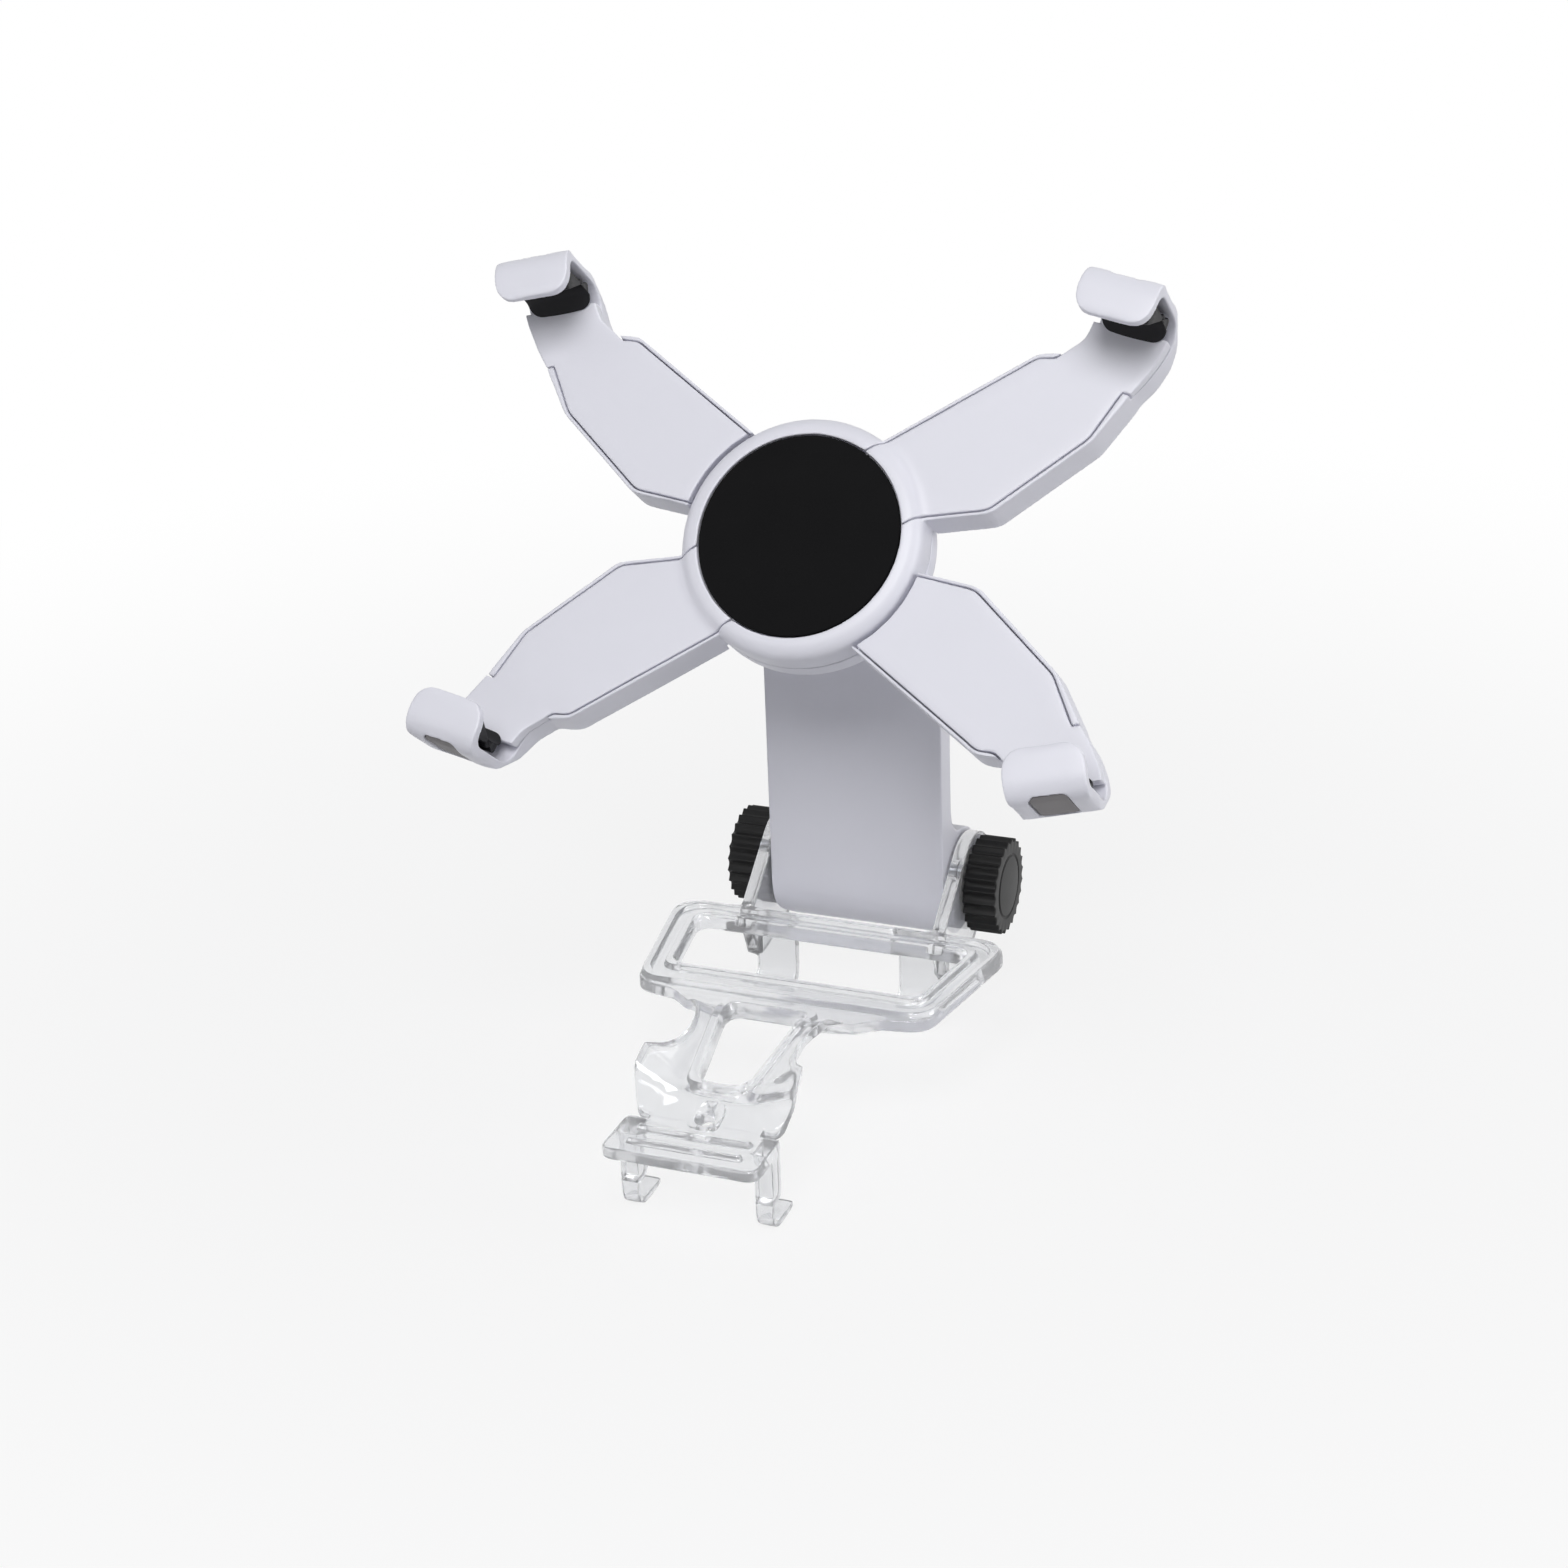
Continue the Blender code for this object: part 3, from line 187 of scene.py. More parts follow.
# Bluish-white ABS from a spark-eroded mould: a soft even satin with a wide, dim highlight.
WHITE_ABS = Finish("white_abs_moulded", "#E6E6EF", 0.42, Surface.SPARK_ERODED, ior=1.53, drift=0.012,
                   grain_mm=0.28, relief_mm=0.005)
# Clear polycarbonate from a polished mould: glassy faces, bright rims, and a slight unevenness of flow.
CLEAR_PC = Finish("clear_polycarbonate_moulded", "#F3F4F6", 0.05, Surface.POLISHED, ior=1.58,
                  transmission=0.84, drift=0.008, grain_mm=9.0, relief_mm=0.02)
# Black nylon with glass filling, moulded: a dry sheen with grey edges where light grazes it.
BLACK_NYLON = Finish("black_nylon_moulded", "#0B0B0C", 0.44, Surface.SPARK_ERODED, ior=1.53, drift=0.08,
                     grain_mm=0.30, relief_mm=0.008, gloss=0.24)
# Black silicone rubber of the hooks' liners: satin, with a soft sheen along its rolled lips.
BLACK_RUBBER = Finish("black_silicone_rubber", "#1A1A1D", 0.46, Surface.MATT_RUBBER, ior=1.43, drift=0.10,
                      grain_mm=0.35, relief_mm=0.006, gloss=0.20)
# The same rubber, painted a lighter grey where the liner's lug fills the window: painted light standing in for
# light falling on the lug.
PAINTED_LIGHT_RUBBER = Finish("rubbed_silicone_rubber", "#8D8A8B", 0.62, Surface.MATT_RUBBER, ior=1.43, drift=0.10,
                     grain_mm=0.35, relief_mm=0.008, gloss=0.3)
# Die-cut black EVA foam of the round pad: closed cells, dead matt, no highlight at all.
BLACK_FOAM = Finish("black_eva_foam", "#161617", 0.90, Surface.MATT_RUBBER, ior=1.45, drift=0.10,
                    grain_mm=0.45, relief_mm=0.015, gloss=0.08)
# Zinc-plated steel: bright with a faint blue-grey cast and turning marks.
ZINC_STEEL = Finish("zinc_plated_steel", "#C3C6CB", 0.28, Surface.TURNED, metallic=1.0, drift=0.06,
                    grain_mm=0.20, relief_mm=0.003)
# Machined brass: warm, with turning marks.
BRASS = Finish("machined_brass", "#CDAA62", 0.27, Surface.TURNED, metallic=1.0, drift=0.05,
               grain_mm=0.20, relief_mm=0.003)
# Natural acetal washers: milky and waxy.
ACETAL = Finish("natural_acetal", "#DCDAD2", 0.48, Surface.SPARK_ERODED, ior=1.48, drift=0.02,
                grain_mm=0.40, relief_mm=0.003)


# Mesh work

def new_object(name: str, mesh: bpy.types.Mesh) -> bpy.types.Object:
    """Put a mesh in the scene under a name."""
    made = bpy.data.objects.new(name, mesh)
    bpy.context.scene.collection.objects.link(made)
    return made


def with_modifiers(shape: bpy.types.Object) -> bpy.types.Object:
    """Turn an object's live modifiers into plain mesh.

    Args:
        shape: The object, whose modifiers are removed.

    Returns:
        The same object.
    """
    graph = bpy.context.evaluated_depsgraph_get()
    graph.update()
    mesh = bpy.data.meshes.new_from_object(shape.evaluated_get(graph))
    old = shape.data
    shape.modifiers.clear()
    shape.data = mesh
    bpy.data.meshes.remove(old)
    return shape


def merged_copy(node: str, name: str) -> bpy.types.Object:
    """Copy a CAD node's loose triangles into one joined mesh, in millimetres.

    Args:
        node: The CAD node's name.
        name: The copy's name.

    Returns:
        The copy.
    """
    shape = bmesh.new()
    shape.from_mesh(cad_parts[node].data)
    bmesh.ops.remove_doubles(shape, verts=shape.verts, dist=0.002 * MILLIMETRE)
    bmesh.ops.scale(shape, verts=shape.verts, vec=(1.0 / MILLIMETRE,) * 3)
    mesh = bpy.data.meshes.new(name)
    shape.to_mesh(mesh)
    shape.free()
    return new_object(name, mesh)


@dataclass(frozen=True)
class Moulding:
    """How a CAD solid is turned into a moulded surface with soft edges and true curves."""

    voxel_mm: float = 0.30
    facet_rounds: int = 70
    settle_rounds: int = 40
    edge_rounds: int = 3
    triangles: int = 150000
    growth_mm: float = 0.0

    def skin(self, node: str, name: str, windows: Sequence[bpy.types.Object] = ()) -> bpy.types.Object:
        """Make the moulded surface of one CAD node.

        Args:
            node: The CAD node's name.
            name: The piece's name.
            windows: Closed shapes, in millimetres, that are cut out of it and used up.

        Returns:
            The finished piece, in metres.
        """
        shape = merged_copy(node, name)
        for window in windows:
            opening = shape.modifiers.new("opening", "BOOLEAN")
            opening.operation = "DIFFERENCE"
            opening.solver = "EXACT"
            opening.object = window
        if windows:
            with_modifiers(shape)
        for window in windows:
            bpy.data.objects.remove(window)
        remesh = shape.modifiers.new("even mesh", "REMESH")
        remesh.mode = "VOXEL"
        remesh.voxel_size = self.voxel_mm
        with_modifiers(shape)
        blend_facets(shape.data, self.facet_rounds, self.settle_rounds)
        soften = shape.modifiers.new("soft edges", "SMOOTH")
        soften.factor = 0.5
        soften.iterations = self.edge_rounds
        if self.growth_mm:
            swell = shape.modifiers.new("narrower seams", "DISPLACE")
            swell.strength = self.growth_mm
            swell.mid_level = 0.0
        faces = 2 * len(shape.data.polygons)
        if faces > self.triangles:
            thin = shape.modifiers.new("fewer faces", "DECIMATE")
            thin.ratio = self.triangles / faces
        return in_metres(with_modifiers(shape))


def blend_facets(mesh: bpy.types.Mesh, rounds: int, settle: int, spread: float = 0.25) -> None:
    """Blend a remeshed solid's flat facets into the curves they stand for, and keep its edges.

    The faces' normals are averaged with those of their neighbours, less so the more they differ,
    and the points are then moved to suit the new normals.

    Args:
        mesh: A closed mesh of quads of even size.
        rounds: How often the normals are averaged.
        settle: How often the points are moved.
        spread: The difference of normals at which an edge starts to be kept.
    """
    count = len(mesh.polygons)
    corners = np.empty(len(mesh.loops), np.int32)
    mesh.loops.foreach_get("vertex_index", corners)
    if rounds == 0 or len(corners) != 4 * count:
        return
    corners = corners.reshape(-1, 4).astype(np.int64)
    points = np.empty(len(mesh.vertices) * 3, np.float32)
    mesh.vertices.foreach_get("co", points)
    points = points.reshape(-1, 3)
    normals = np.cross(points[corners[:, 2]] - points[corners[:, 0]],
                       points[corners[:, 3]] - points[corners[:, 1]])
    normals /= np.linalg.norm(normals, axis=1, keepdims=True) + 1e-12
    nearby = neighbours(corners, len(points))
    curved = (np.abs(normals[nearby] - normals[:, None, :]).max(2) > 0.004).any(1)
    for _ in range(FLAT_MARGIN):
        curved |= curved[nearby].any(1)
    used = np.flatnonzero(curved)
    around_used = nearby[used]
    for _ in range(rounds):
        own = normals[used]
        around = normals[around_used]
        weight = np.exp(((around - own[:, None, :]) ** 2).sum(2) * (-0.5 / spread ** 2))
        own = own + np.einsum("ijk,ij->ik", around, weight)
        normals[used] = own / np.linalg.norm(own, axis=1, keepdims=True)
    loops = corners[used]
    facing = normals[used]
    owner = loops.ravel()
    uses = np.maximum(np.bincount(corners.ravel(), minlength=len(points)), 1)[:, None]
    for _ in range(settle):
        spots = points[loops]
        off = np.einsum("ijk,ik->ij", spots.mean(1, keepdims=True) - spots, facing)
        push = (off[..., None] * facing[:, None, :]).reshape(-1, 3)
        total = np.stack([np.bincount(owner, push[:, k], len(points)) for k in range(3)], 1)
        points = points + (total / uses).astype(np.float32)
    mesh.vertices.foreach_set("co", points.ravel())
    mesh.update()


def neighbours(corners: np.ndarray, points: int) -> np.ndarray:
    """Find the face across each side of every quad.

    Args:
        corners: Four point numbers for each quad.
        points: How many points there are.

    Returns:
        Four face numbers for each quad; its own number stands where a side has no single partner.
    """
    count = len(corners)
    after = np.roll(corners, -1, 1)
    keys = (np.minimum(corners, after) * points + np.maximum(corners, after)).ravel()
    order = np.argsort(keys, kind="stable")
    sides = keys[order]
    found = np.repeat(np.arange(count), 4)
    starts = np.flatnonzero(np.r_[True, sides[1:] != sides[:-1]])
    lengths = np.diff(np.r_[starts, len(sides)])
    pairs = starts[lengths == 2]
    first, second = order[pairs], order[pairs + 1]
    found[first], found[second] = second // 4, first // 4
    return found.reshape(-1, 4)


def smooth_out(shape: bpy.types.Object, levels: int) -> None:
    """Round a mesh with Subdivision Surface and keep the result.

    Args:
        shape: The object, in millimetres.
        levels: How often its faces are divided.
    """
    round_off = shape.modifiers.new("rounded", "SUBSURF")
    round_off.levels = levels
    round_off.render_levels = levels
    with_modifiers(shape)


def in_metres(shape: bpy.types.Object) -> bpy.types.Object:
    """Scale a mesh worked in millimetres to metres and shade it smooth."""
    shape.data.transform(Matrix.Scale(MILLIMETRE, 4))
    shape.data.shade_smooth()
    return shape


def lathe(name: str, profile: Sequence[tuple[float, float]], steps: int, place: Matrix) -> bpy.types.Object:
    """Turn a profile about Z into a closed mesh.

    Args:
        name: The object's name.
        profile: Radius and height of each ring, from one pole on the axis to the other.
        steps: Faces in one turn.
        place: Where the shape stands, in millimetres.

    Returns:
        The turned object, in millimetres.
    """
    shape = bmesh.new()
    rings = []
    for radius, height in profile:
        if radius < 1e-6:
            rings.append([shape.verts.new((0.0, 0.0, height))] * steps)
            continue
        turn = [math.tau * i / steps for i in range(steps)]
        rings.append([shape.verts.new((radius * math.cos(a), radius * math.sin(a), height)) for a in turn])
    for ring, above in zip(rings, rings[1:]):
        for i in range(steps):
            j = (i + 1) % steps
            corners = list(dict.fromkeys((ring[i], ring[j], above[j], above[i])))
            if len(corners) > 2:
                shape.faces.new(corners)
    bmesh.ops.recalc_face_normals(shape, faces=shape.faces)
    mesh = bpy.data.meshes.new(name)
    shape.to_mesh(mesh)
    shape.free()
    made = new_object(name, mesh)
    made.data.transform(place)
    return made


def lofted(name: str, sections: Sequence[Sequence[tuple[float, float, float]]],
           place: Matrix) -> bpy.types.Object:
    """Join closed sections of equal count into a closed mesh with flat ends.

    Args:
        name: The object's name.
        sections: The points of each section, in order along the shape.
        place: Where the shape stands, in millimetres.

    Returns:
        The object, in millimetres.
    """
    shape = bmesh.new()
    rings = [[shape.verts.new(point) for point in section] for section in sections]
    count = len(rings[0])
    for ring, after in zip(rings, rings[1:]):
        for i in range(count):
            j = (i + 1) % count
            shape.faces.new((ring[i], ring[j], after[j], after[i]))
    shape.faces.new(rings[0])
    shape.faces.new(rings[-1])
    bmesh.ops.transform(shape, matrix=place, verts=shape.verts)
    bmesh.ops.recalc_face_normals(shape, faces=shape.faces)
    mesh = bpy.data.meshes.new(name)
    shape.to_mesh(mesh)
    shape.free()
    return new_object(name, mesh)


def softened(profile: Sequence[tuple[float, float, float]], steps: int = 5) -> list[tuple[float, float]]:
    """Round a profile's corners.

    Args:
        profile: Radius, height and rounding of each corner, from end to end.
        steps: Points on each rounding.

    Returns:
        The rounded profile's radii and heights.
    """
    path = []
    for index, (radius, height, rounding) in enumerate(profile):
        here = Vector((radius, height))
        if rounding == 0.0:
            path.append((radius, height))
            continue
        before = Vector(profile[index - 1][:2]) - here
        after = Vector(profile[index + 1][:2]) - here
        start = here + before.normalized() * rounding
        end = here + after.normalized() * rounding
        for step in range(steps + 1):
            share = step / steps
            spot = start * (1.0 - share) ** 2 + here * 2.0 * share * (1.0 - share) + end * share ** 2
            path.append((spot.x, spot.y))
    return path


def grown_by(shape: bpy.types.Object, tree: bpy.types.NodeTree, sizes: dict) -> bpy.types.Object:
    """Run a Geometry Nodes tree on an object and keep the result.

    Args:
        shape: The object.
        tree: The tree.
        sizes: Input name and the value it gets.

    Returns:
        The same object, as plain mesh.
    """
    drive = shape.modifiers.new(tree.name, "NODES")
    drive.node_group = tree
    for item in tree.interface.items_tree:
        if item.in_out == "INPUT" and item.name in sizes:
            drive[item.identifier] = sizes[item.name]
    return with_modifiers(shape)


def dress(piece: bpy.types.Object, finish: Finish, body: str, *nodes: str) -> None:
    """Give a piece its finish, body and the CAD nodes it stands for.

    Args:
        piece: The finished piece.
        finish: Its finish.
        body: The CAD body it rides on.
        nodes: The CAD nodes it replaces, which are hidden.
    """
    piece.data.materials.clear()
    piece.data.materials.append(finish.material())
    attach(piece, body)
    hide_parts(*nodes)
    LOG.info("%s: %d faces, %s", piece.name, len(piece.data.polygons), finish.name)


def dress_node(node: str, finish: Finish) -> None:
    """Give a CAD node that stays on show its finish."""
    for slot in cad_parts[node].material_slots:
        slot.material = finish.material()
    LOG.info("%s: CAD node, %s", node, finish.name)


# Sub-assemblies

@dataclass
class ClearBracket:
    """The transparent moulding that snaps over the controller."""

    moulding: Moulding = field(default_factory=lambda: Moulding(0.30, 60, 40, 3, 180000))

    def build(self) -> None:
        """Skin and dress the bracket."""
        piece = self.moulding.skin("clear_bracket", "clear_bracket_moulding")
        dress(piece, CLEAR_PC, "bracket", "clear_bracket")


@dataclass
class Neck:
    """The white plate between the hinge and the clamp, with what is fixed in it."""

    moulding: Moulding = field(default_factory=lambda: Moulding(0.34, 70, 40, 3, 60000))

    def build(self) -> None:
        """Skin the plate and dress its inserts."""
        piece = self.moulding.skin("neck", "neck_moulding")
        dress(piece, WHITE_ABS, "neck", "neck")
        for side in ("left", "right"):
            dress_node("hinge_nut_" + side, BRASS)
            dress_node("friction_washer_" + side, ACETAL)
        dress_node("pivot_insert", BRASS)
        dress_node("turntable_washer", ACETAL)
        for node in ("pivot_bolt", "pivot_washer"):
            dress_node(node, ZINC_STEEL)


@dataclass
class ThumbKnob:
    """A black knob with rounded ridges all round, and its moulded-in screw."""

    side: str
    hinge_y: float = 23.2
    hinge_z: float = 5.8
    inner: float = 22.8
    thick: float = 7.2
    radius: float = 10.2
    ridges: int = 24
    faces_per_ridge: int = 14
    depth: float = 0.85
    ring: float = 6.7
    socket: float = 3.8
    socket_depth: float = 4.4

    def profile(self) -> list[tuple[float, float, float]]:
        """Give the knob's section.

        Returns:
            Radius, height and rounding of each corner, from the socket's floor to the face's middle.
        """
        outer = self.inner + self.thick
        return [(0.0, self.inner + self.socket_depth, 0.0), (self.socket, self.inner + self.socket_depth, 0.0),
                (self.socket, self.inner, 0.25), (self.radius, self.inner, 0.35),
                (self.radius, outer - 0.15, 0.28), (self.ring + 0.4, outer - 0.15, 0.1),
                (self.ring + 0.2, outer - 0.42, 0.08), (self.ring - 0.2, outer - 0.42, 0.08),
                (self.ring - 0.4, outer - 0.08, 0.1), (0.0, outer, 0.0)]

    def build(self) -> None:
        """Turn the blank, press the valleys into it and dress it."""
        quarter = math.radians(90.0 if self.side == "right" else -90.0)
        place = Matrix.Translation((0.0, self.hinge_y, self.hinge_z)) @ Matrix.Rotation(quarter, 4, "Y")
        blank = lathe(f"knob_{self.side}_moulding", softened(self.profile(), 4),
                      self.ridges * self.faces_per_ridge, Matrix.Identity(4))
        grown_by(blank, valley_tree(), {
            "Ridges": self.ridges, "Depth": self.depth, "Outer radius": self.radius,
            "Even radius": self.ring + 1.0, "Finish": BLACK_NYLON.material()})
        blank.data.transform(place)
        dress(in_metres(blank), BLACK_NYLON, "knob_" + self.side, "knob_" + self.side)
        dress_node("hinge_screw_" + self.side, ZINC_STEEL)


def valley_tree() -> bpy.types.NodeTree:
    """Build the tree that presses even valleys into a turned blank's rim.

    Returns:
        The Geometry Nodes tree.
    """
    name = "rim valleys"
    if name in bpy.data.node_groups:
        return bpy.data.node_groups[name]
    tree = bpy.data.node_groups.new(name, "GeometryNodeTree")
    face = tree.interface
    face.new_socket("Geometry", in_out="OUTPUT", socket_type="NodeSocketGeometry")
    face.new_socket("Geometry", in_out="INPUT", socket_type="NodeSocketGeometry")
    face.new_socket("Ridges", in_out="INPUT", socket_type="NodeSocketInt")
    for label in ("Depth", "Outer radius", "Even radius"):
        face.new_socket(label, in_out="INPUT", socket_type="NodeSocketFloat")
    face.new_socket("Finish", in_out="INPUT", socket_type="NodeSocketMaterial")
    given = add_node(tree, "NodeGroupInput").outputs
    spot = add_node(tree, "ShaderNodeSeparateXYZ", {0: add_node(tree, "GeometryNodeInputPosition").outputs[0]})
    flat = add_node(tree, "ShaderNodeCombineXYZ", {"X": spot.outputs["X"], "Y": spot.outputs["Y"]}).outputs[0]
    radius = add_node(tree, "ShaderNodeVectorMath", {0: flat}, operation="LENGTH").outputs["Value"]
    angle = add_node(tree, "ShaderNodeMath", {0: spot.outputs["Y"], 1: spot.outputs["X"]}, operation="ARCTAN2")
    half = add_node(tree, "ShaderNodeMath", {0: given["Ridges"], 1: 0.5}, operation="MULTIPLY")
    turns = add_node(tree, "ShaderNodeMath", {0: angle.outputs[0], 1: half.outputs[0]}, operation="MULTIPLY")
    wave = add_node(tree, "ShaderNodeMath", {0: turns.outputs[0]}, operation="SINE")
    narrow = add_node(tree, "ShaderNodeMath", {0: wave.outputs[0]}, operation="ABSOLUTE")
    share = add_node(tree, "ShaderNodeMapRange", {"Value": radius, "From Min": given["Even radius"],
                                                  "From Max": given["Outer radius"]},
                     interpolation_type="SMOOTHSTEP")
    amount = add_node(tree, "ShaderNodeMath", {0: narrow.outputs[0], 1: share.outputs["Result"]},
                      operation="MULTIPLY")
    inwards = add_node(tree, "ShaderNodeMath", {0: amount.outputs[0], 1: given["Depth"]}, operation="MULTIPLY")
    back = add_node(tree, "ShaderNodeMath", {0: inwards.outputs[0], 1: -1.0}, operation="MULTIPLY")
    radial = add_node(tree, "ShaderNodeVectorMath", {0: flat}, operation="NORMALIZE").outputs[0]
    offset = add_node(tree, "ShaderNodeVectorMath", {0: radial, "Scale": back.outputs[0]}, operation="SCALE")
    pressed = add_node(tree, "GeometryNodeSetPosition", {"Geometry": given["Geometry"],
                                                         "Offset": offset.outputs[0]})
    real = add_node(tree, "GeometryNodeRealizeInstances", {"Geometry": pressed.outputs[0]})
    painted = add_node(tree, "GeometryNodeSetMaterial", {"Geometry": real.outputs[0],
                                                         "Material": given["Finish"]})
    add_node(tree, "NodeGroupOutput", {0: painted.outputs[0]})
    return tree


@dataclass(frozen=True)
class ClampPlace:
    """Where the clamp and its four hooks stand, in millimetres."""

    clamp_y: float = -14.8
    clamp_z: float = 93.3
    tilt: float = 52.8
    front_angle: float = 38.0
    rear_angle: float = 34.7
    hook_turn: float = 40.7

    def clamp(self) -> Matrix:
        """Give the clamp's frame: Z is the pivot's axis and zero the pad's front."""
        return (Matrix.Translation((0.0, self.clamp_y, self.clamp_z))
                @ Matrix.Rotation(math.radians(self.tilt), 4, "X"))

    def arm(self, hook: str) -> Matrix:
        """Give the frame of the arm that ends in a hook.

        Args:
            hook: The hook's name, such as "upper_left".

        Returns:
            The frame, whose X runs along the arm.
        """
        front = hook in ("upper_right", "lower_left")
        turn = Matrix.Rotation(math.radians(self.front_angle if front else self.rear_angle), 4, "Z")
        if not front:
            turn = Matrix.Scale(-1.0, 4, (1.0, 0.0, 0.0)) @ turn
        if hook.startswith("lower"):
            turn = Matrix.Rotation(math.pi, 4, "Z") @ turn
        return self.clamp() @ turn

    def hook(self, hook: str) -> Matrix:
        """Give a hook's frame: X runs out to its wall, Y along the wall and Z off the arm."""
        return self.arm(hook) @ Matrix.Rotation(math.radians(self.hook_turn), 4, "Z")


@dataclass(frozen=True)
class HookLiner:
    """The rubber liner of a hook, its lug and the window that the lug fills, in the hook's frame.

    Both outlines are points of (out, depth): "hidden" is the back against the wall and "shown" the
    face in the hook's mouth. As they stand they cross twice, near depths 4.0 and 5.8, so the back
    comes through the face there, and the back stands off the wall and off the lug above depth 3.6.
    """

    middle: float = -47.4
    half: float = 6.6
    shift: float = 0.0
    narrowing: float = 0.4
    wall: float = 62.5
    window_half: float = 3.8
    window_low: float = 1.6
    window_high: float = 13.1
    window_corner: float = 1.5
    window_from: float = 59.5
    window_to: float = 66.0
    lug_gap: float = 0.22
    lug_sunk: float = 0.35
    lug_back: float = 59.7
    lug_rim: float = 0.25
    low_bend: float = 7.0
    low_bend_depth: float = 3.0
    high_bend: float = 4.2
    high_bend_depth: float = 10.8
    stations: int = 44
    hidden: tuple[tuple[float, float], ...] = (
        (55.05, -0.52), (56.35, -0.04), (57.0, 0.4), (57.2, 1.0), (57.4, 1.25), (59.2, 1.5), (59.5, 1.8),
        (59.5, 3.0), (59.2, 3.3), (58.6, 3.6), (58.5, 5.5), (58.5, 8.5), (58.6, 10.6), (58.6, 11.8),
        (58.0, 12.4), (56.0, 12.5), (54.3, 12.5))
    shown: tuple[tuple[float, float], ...] = (
        (54.85, -0.32), (55.15, -0.02), (56.2, 0.65), (57.0, 1.5), (57.45, 2.5), (57.7, 3.4), (58.2, 3.85),
        (59.1, 4.15), (59.2, 4.9), (59.1, 5.65), (58.0, 5.95), (57.5, 6.5), (57.45, 8.4), (57.2, 9.8),
        (56.4, 10.75), (55.0, 11.0), (54.25, 11.15), (54.0, 11.8))

    def liner(self, name: str, place: Matrix) -> bpy.types.Object:
        """Loft the liner along the wall, its ends drawn in.

        Args:
            name: The piece's name.
            place: The hook's frame.

        Returns:
            The liner, in millimetres.
        """
        sections = []
        for step in range(self.stations + 1):
            share = math.sin(math.pi * (step / self.stations - 0.5))
            shrink = 0.42 * max(0.0, (abs(share) - 0.95) / 0.05) ** 2
            corner = max(0.0, (abs(share) - 0.62) / 0.38)
            pull = 0.35 * share ** 2 + 2.3 * (1.0 - math.sqrt(max(0.0, 1.0 - corner ** 2)))
            ring = []
            for out, depth in self.shown[::-1] + self.hidden:
                reach = max(0.0, min(1.0, (57.6 - out) / 2.6)) if -0.7 < depth < 3.0 else 0.0
                half = self.half - self.narrowing * max(0.0, min(1.0, (depth - 3.0) / 3.0))
                ring.append([out + pull * reach, self.middle + self.shift + half * share,
                             depth + pull * reach * 0.55])
            centre = np.mean(ring, axis=0)
            ring = [tuple(point + (centre - point) * shrink * 0.25) for point in np.array(ring)]
            sections.append(ring)
        return lofted(name, sections, place)

    def outside(self, depth: float) -> float:
        """Give how far out the wall's outer face lies at a depth.

        Args:
            depth: The height off the arm's front, in millimetres.

        Returns:
            The distance from the pivot's axis, in millimetres.
        """
        low, high = self.low_bend_depth, self.high_bend_depth
        if depth < low:
            return self.wall - self.low_bend + math.sqrt(self.low_bend ** 2 - (low - depth) ** 2)
        if depth > high:
            return self.wall - self.high_bend + math.sqrt(max(0.0, self.high_bend ** 2 - (depth - high) ** 2))
        return self.wall

    def block(self, name: str, place: Matrix, margin: float, back: float,
              front: float | None) -> bpy.types.Object:
        """Make a block with the window's rounded outline.

        Args:
            name: The object's name.
            place: The hook's frame.
            margin: How much smaller than the window it is all round.
            back: How far out its back lies.
            front: How far out its front lies, or None to follow the wall's outer face.

        Returns:
            The block, in millimetres.
        """
        half = self.window_half - margin
        corner = self.window_corner - margin / 2.0
        turns = [math.radians(90.0 * i / 6) for i in range(7)]
        spots = [-half + corner * (1.0 - math.cos(a)) for a in turns]
        spots += [half - corner * (1.0 - math.cos(a)) for a in turns[::-1]]
        cuts = [corner * (1.0 - math.sin(a)) for a in turns]
        cuts += cuts[::-1]
        sections = []
        for spot, cut in zip(spots, cuts):
            low, high = self.window_low + margin + cut, self.window_high - margin - cut
            depths = [low + (high - low) * i / 16 for i in range(17)]
            edge = [(front or self.outside(d) - self.lug_sunk, self.middle + spot, d) for d in depths]
            sections.append(edge + [(back, self.middle + spot, d) for d in depths[::-1]])
        return lofted(name, sections, place)


